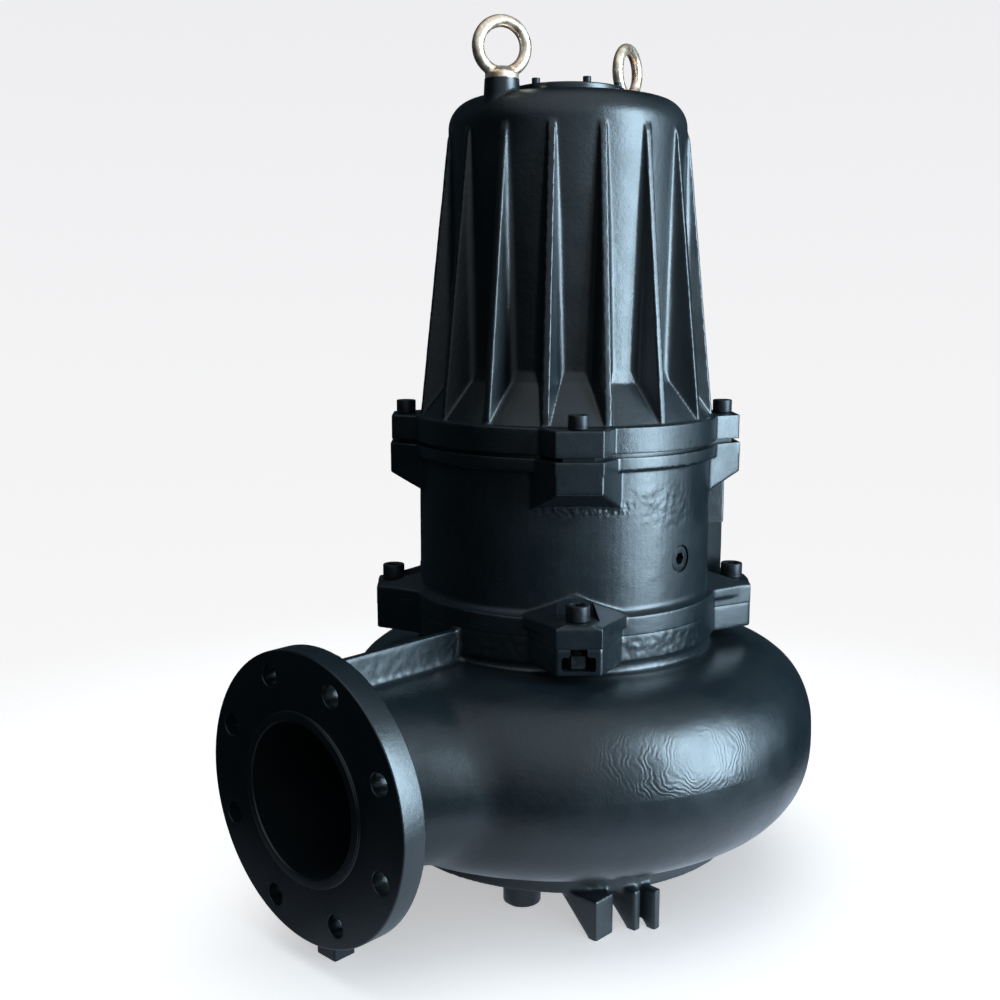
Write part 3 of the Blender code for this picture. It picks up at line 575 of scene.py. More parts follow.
def where(ob, name, rule):
    """Vertex group whose weights come from a rule on the place in millimetres."""
    group = ob.vertex_groups.new(name=name)
    for vert in ob.data.vertices:
        weight = rule(*(vert.co * 1000.0))
        if weight > 0.0:
            group.add([vert.index], weight, "REPLACE")


def cast(name, blanks, voxel=2.2, rounds=4, uneven=0.5, size=45.0, keep=0.5, blends=(), marks=()):
    """Blanks under one skin. Uneven is the height of its waves and size their width."""
    ob = body(name, joined(blanks))
    skin = ob.modifiers.new("skin", "REMESH")
    skin.mode = "VOXEL"
    skin.voxel_size = mm(voxel)
    fillet = ob.modifiers.new("fillet", "SMOOTH")
    fillet.iterations = rounds
    bake(ob)
    for part, rule, soft in blends:
        where(ob, part, rule)
        blend = ob.modifiers.new(part, "SMOOTH")
        blend.iterations = soft
        blend.vertex_group = part
    for part, rule, height, width in marks:
        where(ob, part, rule)
        wave(ob, part, height, width, part)
    wave(ob, "sand", uneven, size, level=0.8)
    thin = ob.modifiers.new("thin", "DECIMATE")
    thin.ratio = keep
    bake(ob)
    ob.vertex_groups.clear()
    return ob


def worked(ob, tools, operation):
    """Joins or cuts with each tool body in turn, leaving sharp edges."""
    for i, bm in enumerate(tools):
        tool = body("tool_%d" % i, bm)
        step = ob.modifiers.new("step_%d" % i, "BOOLEAN")
        step.operation = operation
        step.solver = "MANIFOLD"
        step.object = tool
        tool.hide_render = True
    bake(ob)
    for i in range(len(tools)):
        bpy.data.objects.remove(bpy.data.objects["tool_%d" % i], do_unlink=True)
    return ob


def machined(ob, tools):
    return worked(ob, tools, "DIFFERENCE")


def fitted(ob, tools):
    return worked(ob, tools, "UNION")


SHARP, SCREW_SHARP = 40.0, 30.0          # angles from which an edge is drawn sharp


def finished(ob, node_name, mat, sharp=SHARP):
    """Moves the mesh to the shaft, shades it, and lets it stand for its CAD node."""
    ob.data.transform(SHAFT)
    ob.data.materials.clear()
    ob.data.materials.append(mat)
    ob.data.shade_smooth()
    ob.data.set_sharp_from_angle(angle=radians(sharp))
    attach(ob, "root")
    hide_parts(node_name)
    size = [round(value * 1000.0, 1) for value in ob.dimensions]
    print(ob.name, size, "faces", len(ob.data.polygons))
    return ob


# %% [markdown]
# ## Flanges with ears
# The two joints of the pump are round flanges with four ears for the screws, on the diagonals. An
# ear is a straight-sided block that widens towards the round rim. The outline is walked once around,
# and the same outline serves the casing, the seal housing and the motor housing.

# %% Outlines
GAP = 0.3
EAR_AZ = (-135.0, -45.0, 45.0, 135.0)


def eared_outline(r, tip, tip_hw, root_hw, inset=0.0, steps=24):
    """Round flange with four ears, anticlockwise. An inset draws the same outline smaller."""
    root = root_hw / r * 180.0 / pi
    points = []
    for az in EAR_AZ:
        out = Vector(polar(1.0, az))
        side = Vector((-out.y, out.x))
        points.append(polar(r - inset, az - root))
        points.append(tuple(out * (tip - inset) - side * (tip_hw - inset)))
        points.append(tuple(out * (tip - inset) + side * (tip_hw - inset)))
        points.append(polar(r - inset, az + root))
        span = 90.0 - 2.0 * root
        points += [polar(r - inset, az + root + span * i / steps) for i in range(1, steps)]
    return points


def tapered(r0, hw0, r1, hw1):
    """Four sided outline along +X, hw0 wide each way at r0 and hw1 at r1."""
    return [(r0, -hw0), (r1, -hw1), (r1, hw1), (r0, hw0)]


def ear_half_width(tip, tip_hw, root, root_hw, r):
    return tip_hw + (root_hw - tip_hw) * (tip - r) / (tip - root)


def arc(cr, cz, a, b, start, end, steps, power=2.0):
    """Points (radius, height) on a rounded section from one angle to another, in degrees."""
    points = []
    for i in range(steps + 1):
        t = radians(start + (end - start) * i / steps)
        c = abs(cos(t)) ** (2.0 / power) * (1.0 if cos(t) > 0.0 else -1.0)
        s = abs(sin(t)) ** (2.0 / power) * (1.0 if sin(t) > 0.0 else -1.0)
        points.append((cr + a * c, cz + b * s))
    return points


# %% [markdown]
# ## Spiral casing
# Water leaves the impeller all around and is gathered in a channel that widens towards the outlet.
# A turned ring whose section grows with the angle gives that shape: it is spun from one profile, and
# its vertices are then moved outwards by how far the spiral has come. The outlet neck is a row of
# circles bridged to a tube, its sides spreading in a fillet where they meet the spiral.

# %% Spiral and neck
V_TONGUE, V_FALL = -120.0, 325.0         # azimuth where the spiral starts, degrees until it falls back
V_RI, V_A, V_B, V_ZC = 95.0, 75.0, 84.0, 162.0
V_GROW_A, V_GROW_B, V_POWER, V_WALL = 0.39, 0.20, 2.4, 14.0
V_BOT, V_BOT_R, V_TOP, V_FLANGE, V_NECK_R = 57.0, 190.0, 296.5, 27.5, 165.0
FL_REACH, FL_THICK, FL_LIP, FL_LIP_R, FL_R = 373.0, 28.0, 3.0, 84.5, 142.5
PIPE_H, NECK_R, NECK_FILLET, WEB_TOP = 169.0, 90.0, 50.0, 294.0
FLARE_START, FLARE_LENGTH, FILLET_START, NECK_END = 336.0, 74.0, 313.0, 190.0
NECK_SIDES = 96


def growth(az):
    """How far the spiral has grown at an azimuth: 0 at the tongue, 1 after a full turn."""
    turn = (V_TONGUE - az) % 360.0
    if turn <= V_FALL:
        return turn / 360.0
    return V_FALL / 360.0 * (360.0 - turn) / (360.0 - V_FALL)


def spiral(profile, sides):
    """Turned body whose section grows around the shaft like the water way of the casing."""
    bm = turned(profile, sides=sides)
    for vert in bm.verts:
        r = vert.co.xy.length * 1000.0
        if r > 0.1:
            grown = growth(Vector((1.0, 0.0)).angle_signed(vert.co.xy) * -180.0 / pi)
            new_r = max(r, V_RI + (r - V_RI) * (1.0 + V_GROW_A * grown))
            taller = 1.0 + V_GROW_B * grown * min(1.0, r / V_RI)
            vert.co.xy *= new_r / r
            vert.co.z = mm(V_ZC + (vert.co.z * 1000.0 - V_ZC) * taller)
    bmesh.ops.triangulate(bm, faces=bm.faces)
    return bm


def discharge_neck():
    """Tube from the flange that spreads: in a fillet on the left, in a straight flare on the right."""
    stations = [(NECK_R, FL_REACH - 8.0), (NECK_R, FLARE_START)]
    for angle in range(0, 70, 8):
        t = radians(angle)
        stations.append((NECK_R + NECK_FILLET * (1.0 - cos(t)), FILLET_START - NECK_FILLET * sin(t)))
    stations.append((stations[-1][0], NECK_END))
    turn = [2.0 * pi * i / NECK_SIDES for i in range(NECK_SIDES)]
    loops = []
    for left, out in stations:
        right = NECK_R + NECK_FILLET * max(0.0, min(1.0, (FLARE_START - out) / FLARE_LENGTH))
        loops.append([((right if cos(t) > 0.0 else left) * cos(t), -out, PIPE_H + NECK_R * sin(t))
                      for t in turn])
    return lofted(loops)


# %% [markdown]
# The outlet flange is a standard pipe flange. Its rim and face are turned after casting, so its disc
# is joined to the skin afterwards with its own small rounds, and the bore and the eight bolt holes
# are cut with slightly broken edges. The web over the neck spreads to a foot where it meets the
# flange. The nut pockets under the ears and the slots for the screws are cut last.

# %% Casing
LIE = shift(0.0, 0.0, PIPE_H) @ Matrix.Rotation(radians(90.0), 4, "X")     # Z axis runs out to -Y
FL_PCR, FL_HOLE_R, FL_BORE_R, FL_HOLES = 120.0, 11.0, 75.0, 8
LO_R, LO_EAR, LO_EAR_HW, LO_ROOT_HW, LO_PCR = 169.5, 209.0, 23.0, 48.0, 191.0
WEB_HW = 5.0
SCREW_16_R, SCREW_14_R, SCREW_12_R = 8.3, 7.3, 6.3      # radii of the holes for M16, M14 and M12


def flange_disc():
    face, rim = FL_REACH, FL_R
    profile = [(0.0, face + FL_LIP), (FL_LIP_R - 1.0, face + FL_LIP), (FL_LIP_R - 0.3, face + FL_LIP - 0.3),
               (FL_LIP_R, face + FL_LIP - 1.0), (FL_LIP_R, face + 0.7), (FL_LIP_R + 0.7, face)]
    profile += arc(rim - 2.0, face - 2.0, 2.0, 2.0, 90.0, 0.0, 5)
    profile += [(rim, face - FL_THICK + 3.0), (0.0, face - FL_THICK + 3.0)]
    return turned(profile, LIE, 160)


def bored(radius, near, far, broken, places, sides):
    """Cutter for holes whose mouths at both faces have broken edges."""
    profile = [(0.0, far + 5.0), (radius + broken + 5.0, far + 5.0), (radius, far - broken),
               (radius, near + broken), (radius + broken + 5.0, near - 5.0), (0.0, near - 5.0)]
    return joined([turned(profile, shift(x, y, 0.0), sides) for x, y in places])


def rounded(profile, radius, steps=3):
    """The profile with each corner between two others rounded, ends left as they are."""
    points = [profile[0]]
    for before, corner, after in zip(profile, profile[1:], profile[2:]):
        a, c, b = Vector(before), Vector(corner), Vector(after)
        reach = min(radius, (a - c).length * 0.45, (b - c).length * 0.45)
        start, end = c + (a - c).normalized() * reach, c + (b - c).normalized() * reach
        for i in range(steps + 1):
            t = i / steps
            points.append(tuple((1 - t) ** 2 * start + 2 * t * (1 - t) * c + t ** 2 * end))
    return points + [profile[-1]]


def pocket(az):
    """Cutter for the slot of a screw and the wider room for its nut under it, with round corners."""
    top, slot, roof, sill = V_TOP + 5.0, SCREW_16_R, V_TOP - 8.0, V_TOP - V_FLANGE + 5.0
    half = [(-sill, 0.0), (-sill, 16.8), (-roof, 16.8), (-roof, slot), (-top, slot), (-top, 0.0)]
    outline = rounded(half, 3.2, 4)
    outline += [(x, -y) for x, y in reversed(outline[1:-1])]
    return slab(outline, LO_PCR - 14.0, LO_EAR + 8.0, spin_z(az) @ Matrix.Rotation(radians(90.0), 4, "Y"))


def neck_blend(x, y, z):
    """Where the neck flows into the spiral, clear of the flange, the web and the foot."""
    return band(y, -340.0, -320.0, -190.0, -140.0) * band(z, 62.0, 80.0, 225.0, 258.0)


def web_root(x, y, z):
    """Both sides of the web where it grows out of the neck."""
    side = band(abs(x), 4.0, 6.0, 24.0, 34.0) * band(y, -340.0, -325.0, -185.0, -172.0)
    return side * band(z, 240.0, 248.0, 266.0, 274.0)


def rough_web(x, y, z):
    """Side of the web and its end at the top flange, left as they came out of the sand."""
    side = band(x, 2.0, 5.0, 16.0, 26.0) * band(y, -345.0, -330.0, -172.0, -160.0)
    return side * band(z, 246.0, 256.0, 286.0, 292.0)


def rough_rim(x, y, z):
    """Rim of the top flange on the outlet's right, where the mould left its grain."""
    r = (x * x + y * y) ** 0.5
    side = band(x, -40.0, 60.0, 250.0, 300.0) * band(y, -300.0, -200.0, 0.0, 80.0)
    return side * band(r, 160.0, 166.0, 178.0, 186.0) * band(z, 268.0, 273.0, 290.0, 295.0)


def casing():
    centre = V_RI + V_A
    outer = [(0.0, V_ZC + V_B - 4.0), (V_RI, V_ZC + V_B - 2.0)]
    outer += arc(centre, V_ZC, V_A, V_B, 100.0, -100.0, 44, V_POWER)
    outer += [(V_RI, V_ZC - V_B + 2.0), (0.0, V_ZC - V_B + 4.0)]
    ears = eared_outline(LO_R, LO_EAR, LO_EAR_HW, LO_ROOT_HW)
    wall = -FL_REACH + FL_THICK
    web_end = -V_NECK_R + 5.0
    web = rectangle(wall - 4.0, web_end, PIPE_H + 60.0, WEB_TOP)
    web_foot = [(-WEB_HW - 13.0, wall - 4.0), (WEB_HW + 13.0, wall - 4.0), (WEB_HW + 12.0, wall + 2.0),
                (WEB_HW + 4.0, wall + 9.0), (WEB_HW, wall + 22.0), (-WEB_HW, wall + 22.0),
                (-WEB_HW - 4.0, wall + 9.0), (-WEB_HW - 12.0, wall + 2.0)]
    foot = rectangle(-14.5, 14.5, -349.0, -323.0)
    hub = [(0.0, FL_REACH - 6.0), (FL_R - 0.4, FL_REACH - 6.0), (FL_R - 0.4, FL_REACH - FL_THICK),
           (0.0, FL_REACH - FL_THICK)]
    ob = cast("casing", [
        spiral(outer, 200),
        rods(V_NECK_R, V_ZC + 60.0, V_TOP - 4.0, sides=SIDES),
        slab(ears, V_TOP - V_FLANGE, V_TOP + 1.7),
        rods(V_BOT_R, V_BOT - 8.0, V_ZC - 50.0, sides=SIDES),
        discharge_neck(),
        slab(web, -WEB_HW, WEB_HW, spin_z(90.0) @ UPRIGHT_X),
        slab(web_foot, PIPE_H + 75.0, WEB_TOP),
        slab(foot, -6.0, 40.0),
        turned(hub, LIE, 160),
    ], voxel=2.0, rounds=5, uneven=0.9, size=38.0, keep=0.38,
        blends=[("neck_blend", neck_blend, 400), ("web_root", web_root, 40)],
        marks=[("rough_rim", rough_rim, 1.8, 7.0), ("rough_web", rough_web, 0.8, 7.0)])
    fitted(ob, [flange_disc()])

    inner = [(0.0, V_ZC + 62.0), (centre - 45.0, V_ZC + 64.0)]
    inner += arc(centre, V_ZC, V_A - V_WALL, V_B - V_WALL, 75.0, -75.0, 20, V_POWER)
    inner += [(centre - 55.0, V_ZC - 64.0), (0.0, V_ZC - 64.0)]
    ring = [polar(FL_PCR, 360.0 * (i + 0.5) / FL_HOLES) for i in range(FL_HOLES)]
    bolts = placed(bored(FL_HOLE_R, FL_REACH - FL_THICK, FL_REACH, 0.6, ring, 32), LIE)
    mouth = [(0.0, FL_REACH + 20.0), (FL_BORE_R + 18.2, FL_REACH + 20.0),
             (FL_BORE_R, FL_REACH + FL_LIP - 1.2), (FL_BORE_R, 150.0), (0.0, 150.0)]
    machined(ob, [
        slab(rectangle(-300.0, 320.0, -260.0, 320.0), V_TOP, V_TOP + 30.0),
        rods(V_BOT_R + 30.0, V_BOT - 30.0, V_BOT, sides=SIDES),
        slab(rectangle(-30.0, 30.0, -370.0, -300.0), -30.0, 0.0),
        spiral(inner, 96),
        rods(134.0, V_ZC + 40.0, V_TOP + 10.0, sides=96),
        rods(88.0, V_BOT - 10.0, V_ZC - 40.0, sides=96),
        turned(mouth, LIE, 96),
        bolts,
    ])
    machined(ob, [pocket(az) for az in EAR_AZ])
    return finished(ob, "volute_casing", CASING_ENAMEL)


casing()


# %% [markdown]
# ## Base ring
# Under the casing a cast ring carries three groups of legs, each leg an upright plate whose inner edge
# slopes up to the ring, and three bosses with sunk screws. The legs keep the suction opening clear
# of the floor. Each leg is given by its outer end and its two sides, and the last three of a group
# overlap to one stepped leg.

# %% Stand
ST_R, ST_RI, ST_TOP, ST_BOT, ST_SEAT = 199.0, 118.0, V_BOT - GAP, 38.0, 26.0
ST_TURNS = (0.0, 120.0, 240.0)
ST_SCREWS = [polar(158.0, turn - 64.0) for turn in ST_TURNS]
LEGS = ((172.0, -145.0, -117.0), (187.0, -101.5, -91.5), (179.0, -92.5, -84.5), (200.0, -86.0, -76.0))


def leg(end, y0, y1, turn):
    """Upright plate that rises at 45 degrees from its foot to the ring."""
    rise = ST_BOT + 4.0
    outline = [(end - 11.0 - rise, rise), (end - 11.0, 0.0), (end - 11.0, -5.0), (end, -5.0), (end, rise)]
    half = (y1 - y0) / 2.0
    return slab(outline, -half, half, spin_z(turn) @ shift(0.0, (y0 + y1) / 2.0, 0.0) @ UPRIGHT_X)


def stand():
    ring = [(ST_RI, ST_TOP + 6.0), (ST_R, ST_TOP + 6.0), (ST_R, ST_BOT), (ST_RI, ST_BOT)]
    blanks = [turned(ring), rods(20.0, 8.0, ST_TOP - 5.0, ST_SCREWS)]
    blanks += [leg(*shape, turn) for turn in ST_TURNS for shape in LEGS]
    ob = cast("base_ring", blanks, voxel=1.8, rounds=4, uneven=0.6, size=20.0, keep=0.45)
    machined(ob, [
        slab(square(240.0), ST_TOP, ST_TOP + 20.0),
        slab(square(240.0), -20.0, 0.0),
        rods(SCREW_12_R, 20.0, ST_TOP + 5.0, ST_SCREWS),
        rods(10.0, 2.0, ST_SEAT, ST_SCREWS),
    ])
    return finished(ob, "base_stand", STAND_ENAMEL)


stand()


# %% [markdown]
# ## Seal housing
# A plain round wall stands between two eared flanges. At the bottom, sloping cheeks rise from the
# flange's rim to the wall on both sides of each screw, with a pocket between them for the screw's
# head. At the top the ears hang down and lean back to the wall. A low groove under the motor flange
# keeps the two castings apart, and a cast bar runs up the wall beside the oil plug.

# %% Wall and ears
SH_R, SH_TOP, SH_RING, SH_GROOVE = 160.5, 481.0, 17.0, 4.2
LO_SEAT, LO_RIM, LO_HIP = 321.0, 316.5, 27.0
UP_R, UP_EAR, UP_EAR_HW, UP_ROOT_HW, UP_PCR, UP_EAR_LOW = 166.5, 190.0, 24.0, 38.0, 175.0, 444.0
BAR_AZ, BAR_R = 52.0, 184.0
PLUG_Z, PLUG_R = 366.0, 13.0
PLUG_OUT = shift(0.0, 0.0, PLUG_Z) @ Matrix.Rotation(radians(90.0), 4, "Y")     # Z axis runs out to +X


def cheeks(az):
    inner = 130.0
    hw = ear_half_width(LO_EAR, LO_EAR_HW, LO_R, LO_ROOT_HW, inner)
    bm = slab(tapered(inner, hw - 1.0, LO_EAR - 1.0, LO_EAR_HW - 1.0), LO_RIM - 10.0, LO_RIM + 45.0)
    for side in (-1.0, 1.0):
        along = Vector((LO_EAR - LO_R, side * (LO_EAR_HW - LO_ROOT_HW), 0.0))
        out = Vector((-along.y, along.x, 0.0)).normalized() * side
        slope = out * tan(radians(LO_HIP)) + Vector((0.0, 0.0, 1.0))
        trimmed(bm, (LO_EAR, side * LO_EAR_HW, LO_RIM), slope)
    return placed(renewed(bm), spin_z(az))


def hanging_ear(az):
    inner = 140.0
    hw = ear_half_width(UP_EAR, UP_EAR_HW, UP_R, UP_ROOT_HW, inner)
    bm = slab(tapered(inner, hw - 0.5, UP_EAR + 1.5, UP_EAR_HW - 0.5), UP_EAR_LOW - 50.0, SH_TOP - 4.0)
    trimmed(bm, (UP_EAR, 0.0, UP_EAR_LOW), Vector((0.5, 0.0, -1.0)))
    return placed(renewed(bm), spin_z(az))


def azimuth(x, y):
    return Vector((1.0, 0.0)).angle_signed(Vector((x, y))) * -180.0 / pi


def beads(x, y, z):
    """Beads of iron that ran into the mould's seam below the front ear."""
    if x < 0.0 or y > 0.0 or z < 410.0:
        return 0.0
    return band(azimuth(x, y), -62.0, -52.0, -30.0, -20.0) * band(z, 416.0, 422.0, 429.0, 436.0)


def scar(x, y, z):
    """Raised patch where a feeder was broken off and dressed by hand."""
    if x < 0.0 or z < 395.0:
        return 0.0
    return band(azimuth(x, y), -26.0, -19.0, 2.0, 8.0) * band(z, 398.0, 410.0, 438.0, 450.0)


# %% Seal housing
def seal_housing():
    low = V_TOP + GAP
    wall = [(0.0, SH_TOP - 7.0), (SH_R, SH_TOP - 7.0), (SH_R, LO_RIM + 6.0), (SH_R + 1.5, LO_RIM + 3.0),
            (LO_R - 2.0, LO_RIM - 0.5), (LO_R - 2.0, low - 1.7), (0.0, low - 1.7)]
    upper = eared_outline(UP_R, UP_EAR + 1.5, UP_EAR_HW, UP_ROOT_HW)
    groove = eared_outline(UP_R, UP_EAR + 1.5, UP_EAR_HW, UP_ROOT_HW, 8.5)
    lower = eared_outline(LO_R, LO_EAR, LO_EAR_HW, LO_ROOT_HW)
    blanks = [turned(wall), slab(lower, low - 1.7, LO_RIM),
              slab(upper, SH_TOP - SH_RING, SH_TOP - SH_GROOVE + 1.2),
              slab(tapered(140.0, 9.0, BAR_R, 8.0), LO_RIM - 6.0, SH_TOP - SH_RING + 4.0, spin_z(BAR_AZ))]
    blanks += [cheeks(az) for az in EAR_AZ] + [hanging_ear(az) for az in EAR_AZ]
    ob = cast("seal_housing_casting", blanks, voxel=1.3, rounds=6, uneven=0.5, size=30.0, keep=0.33,
              marks=[("beads", beads, 1.9, 4.5), ("scar", scar, 1.5, 13.0)])
    machined(ob, [slab(square(260.0), SH_TOP - SH_GROOVE, SH_TOP + 20.0),
                  slab(square(260.0), low - 20.0, low)])
    spigot = [(0.0, low + 2.0), (133.7, low + 2.0), (133.7, 240.0), (60.0, 224.3), (0.0, 224.3)]
    fitted(ob, [slab(groove, SH_TOP - 8.0, SH_TOP), turned(spigot)])
    cuts = [slab(tapered(SH_R + 0.5, 18.0, LO_EAR + 12.0, 24.8), LO_SEAT, LO_SEAT + 60.0, spin_z(az))
            for az in EAR_AZ]
    cuts.append(rods(SCREW_16_R, low - 5.0, LO_SEAT + 5.0, [polar(LO_PCR, az) for az in EAR_AZ]))
    cuts.append(rods(SCREW_14_R, SH_TOP - 30.0, SH_TOP + 5.0, [polar(UP_PCR, az) for az in EAR_AZ]))
    cuts.append(rods(PLUG_R + 1.6, SH_R - 4.0, SH_R + 5.0, matrix=PLUG_OUT, sides=48))
    cuts.append(rods(PLUG_R + GAP, SH_R - 16.0, SH_R + 5.0, matrix=PLUG_OUT, sides=48))
    cuts.append(rods(SCREW_12_R, 200.0, 250.0))
    machined(ob, cuts)
    return finished(ob, "seal_housing", SEAL_ENAMEL)


seal_housing()


# %% [markdown]
# ## Motor housing
# The motor gives off its heat through sixteen ribs. Each rib is a plate that is deepest at the bottom
# flange and runs out at the shoulder, with flanks that spread inwards so that the casting leaves its
# mould. The wall between them is turned, with a round shoulder on top and a flare at the flange.
# Two bosses on the shoulder carry the lifting eyes, and one on the back takes the cable.

# %% Ribs
MH_BOT, MH_FL, MH_R, MH_TOP, MH_SHOULDER = SH_TOP + GAP, 507.5, 127.0, 838.0, 30.0
MH_FLARE_Z, MH_FLARE_R = 560.0, 158.0
RIBS, RIB_LOW_R, RIB_HIGH_R, RIB_HIGH_Z = 16, 161.0, 130.0, 796.0
RIB_CREST_HW, RIB_DRAFT, RIB_FILLET, RIB_STEPS = 3.6, 0.24, 7.5, 6
EYE_R, EYE_BOSS_R, EYE_BOSS_TOP = 102.0, 17.5, 849.0
GLAND_Z, GLAND_SEAT, GLAND_R = 640.0, 158.0, 18.0
BACK = shift(0.0, 0.0, GLAND_Z) @ Matrix.Rotation(radians(-90.0), 4, "X")       # Z axis runs out to +Y
TC_SCREWS = [polar(53.0, -88.0 + 60.0 * i) for i in range(6)]


def rib_section(crest):
    """One section: flat crest, spreading flanks, and fillets that run out on the wall."""
    wall = min(MH_R, crest - 1.0)
    depth = crest - wall
    root = RIB_CREST_HW + RIB_DRAFT * depth
    reach = min(RIB_FILLET, 0.7 * depth)
    corner = Vector((wall, root))
    start = corner + Vector((1.0, -RIB_DRAFT)).normalized() * reach
    end = corner + Vector((-1.5, reach))
    side = [(crest, RIB_CREST_HW)]
    for i in range(RIB_STEPS + 1):
        t = i / RIB_STEPS
        side.append(tuple((1 - t) ** 2 * start + 2 * t * (1 - t) * corner + t ** 2 * end))
    side.append((100.0, root + reach))
    return [(x, -y) for x, y in reversed(side)] + side


def rib(index):
    lean = (RIB_HIGH_R - RIB_LOW_R) / (RIB_HIGH_Z - MH_FL)
    heights = (MH_FL - 4.0, MH_FL + 120.0, MH_FL + 200.0, MH_FL + 250.0, RIB_HIGH_Z)
    crests = [RIB_LOW_R + lean * (z - MH_FL) for z in heights] + [RIB_HIGH_R - 6.0]
    heights += (RIB_HIGH_Z + 18.0,)
    loops = [[(x, y, z) for x, y in rib_section(crest)] for crest, z in zip(crests, heights)]
    return placed(lofted(loops), spin_z(360.0 * (index + 0.5) / RIBS))


# %% Motor housing
def motor_housing():
    corner = MH_R - MH_SHOULDER
    wall = [(0.0, MH_TOP), (corner, MH_TOP)]
    wall += arc(corner, MH_TOP - MH_SHOULDER, MH_SHOULDER, MH_SHOULDER, 84.0, 0.0, 14)
    wall += [(MH_R, MH_FLARE_Z), (MH_R + 3.0, MH_FLARE_Z - 12.0), (MH_FLARE_R, MH_FL + 2.0),
             (MH_FLARE_R, MH_BOT + 5.0), (0.0, MH_BOT + 5.0)]
    boss = [(0.0, EYE_BOSS_TOP + 4.0), (EYE_BOSS_R, EYE_BOSS_TOP + 4.0), (EYE_BOSS_R + 1.0, 832.0),
            (EYE_BOSS_R + 5.5, 806.0), (EYE_BOSS_R + 5.5, 796.0), (0.0, 796.0)]
    blanks = [turned(wall), slab(eared_outline(UP_R, UP_EAR, UP_EAR_HW, UP_ROOT_HW), MH_BOT - 1.5, MH_FL),
              rods(33.0, 100.0, GLAND_SEAT, matrix=BACK, sides=64)]
    blanks += [turned(boss, shift(0.0, y, 0.0), 64) for y in (-EYE_R, EYE_R)]
    blanks += [rib(i) for i in range(RIBS)]
    ob = cast("motor_housing_casting", blanks, voxel=1.1, rounds=9, uneven=0.5, size=30.0, keep=0.17)
    eyes = [(0.0, -EYE_R), (0.0, EYE_R)]
    machined(ob, [
        slab(square(220.0), MH_BOT - 20.0, MH_BOT),
        rods(28.0, EYE_BOSS_TOP, EYE_BOSS_TOP + 12.0, eyes),
        rods(SCREW_16_R, EYE_BOSS_TOP - 30.0, EYE_BOSS_TOP + 5.0, eyes),
        rods(2.9, MH_TOP - 12.0, MH_TOP + 5.0, TC_SCREWS, sides=16),
        rods(GLAND_R + GAP, GLAND_SEAT - 16.0, GLAND_SEAT + 9.0, matrix=BACK, sides=48),
        rods(SCREW_14_R, MH_BOT - 5.0, MH_FL + 5.0, [polar(UP_PCR, az) for az in EAR_AZ]),
    ])
    return finished(ob, "motor_housing", MOTOR_ENAMEL)


motor_housing()


# %% [markdown]
# ## Top cover, gland and running parts
# The cover closes the terminal space on top of the motor. The gland on the back and the rubber bush
# inside it hold the cable. Through the outlet and from below, the wear ring and the impeller show.
# All but the impeller are turned, so they are spun from their profiles with small rounds on their
# edges. The impeller is cast, and made as the castings above.

# %% Small pieces
TC_TOP, HUB_LOW = 850.0, 150.0


def top_cover():
    low, r = MH_TOP + GAP, 60.4
    profile = [(0.0, TC_TOP), (r, TC_TOP), (r, low), (0.0, low)]
    ob = body("terminal_cover", turned(rounded(profile, 1.6), sides=96))
    machined(ob, [rods(3.2, low - 5.0, TC_TOP + 5.0, TC_SCREWS, sides=20)])
    return finished(ob, "top_cover", COVER_ENAMEL)


def wear_ring():
    low, high = V_BOT, V_BOT + 45.0
    profile = [(75.0, high), (87.7, high), (87.7, low + 1.0), (86.7, low), (77.0, low), (75.0, low + 2.0)]
    return finished(body("wear_ring", turned(profile)), "suction_wear_ring", TURNED_IRON)


def impeller():
    top = 224.0
    profile = [(0.0, top), (112.0, top), (112.0, top - 10.0), (60.0, top - 16.0), (40.0, top - 20.0),
               (30.0, top - 32.0), (28.0, HUB_LOW), (0.0, HUB_LOW)]
    blanks = [turned(profile)]
    sweep, steps = 110.0, 24
    for turn in (0.0, 180.0):
        front = [polar(22.0 + 87.0 * i / steps, sweep * i / steps) for i in range(steps + 1)]
        rear = [polar(32.0 + 79.0 * i / steps, sweep * i / steps + 16.0 - i / 3.0)
                for i in range(steps + 1)]
        blanks.append(slab(front + rear[::-1], 120.0, top - 5.0, spin_z(turn)))
    ob = cast("two_blade_impeller", blanks, voxel=1.6, rounds=4, uneven=0.4, size=12.0, keep=0.3)
    machined(ob, [rods(SCREW_12_R, HUB_LOW - 5.0, top + 5.0)])
    return finished(ob, "impeller", CAST_IRON)


def cable_entry():
    face, hole = GLAND_SEAT, 12.0
    body_profile = [(hole, face + 34.0), (GLAND_R, face + 34.0), (GLAND_R + 2.0, face + 32.0),
                    (GLAND_R + 2.0, face + 12.0), (GLAND_R + 7.0, face + 12.0), (GLAND_R + 7.0, face + GAP),
                    (GLAND_R, face + GAP), (GLAND_R, face - 15.0), (hole, face - 15.0)]
    gland = body("gland", turned(body_profile, BACK, 64))
    finished(gland, "cable_gland", GLAND_ENAMEL)
    bush_profile = [(0.0, face + 32.0), (11.7, face + 32.0), (11.7, face - 12.0), (0.0, face - 12.0)]
    bush = body("rubber_bush", turned(rounded(bush_profile, 1.5), BACK, 48))
    finished(bush, "cable_bush", RUBBER)


top_cover()
wear_ring()
impeller()
cable_entry()


# %% [markdown]
# ## Screws, nuts and plug
# The screws have round heads as high as the thread is wide, with a hexagon socket, a rounded upper
# edge and a fine cone at the socket's mouth. Nuts are six-sided bars whose corners a cone has taken
# off. The oil plug is a headless screw with the same socket, sunk in the wall.

# %% Screws
HEAD_R, SOCKET_R, SOCKET_FLOOR, HEAD_ROUND = 0.75, 0.47, 0.45, 0.09      # shares of the thread's width


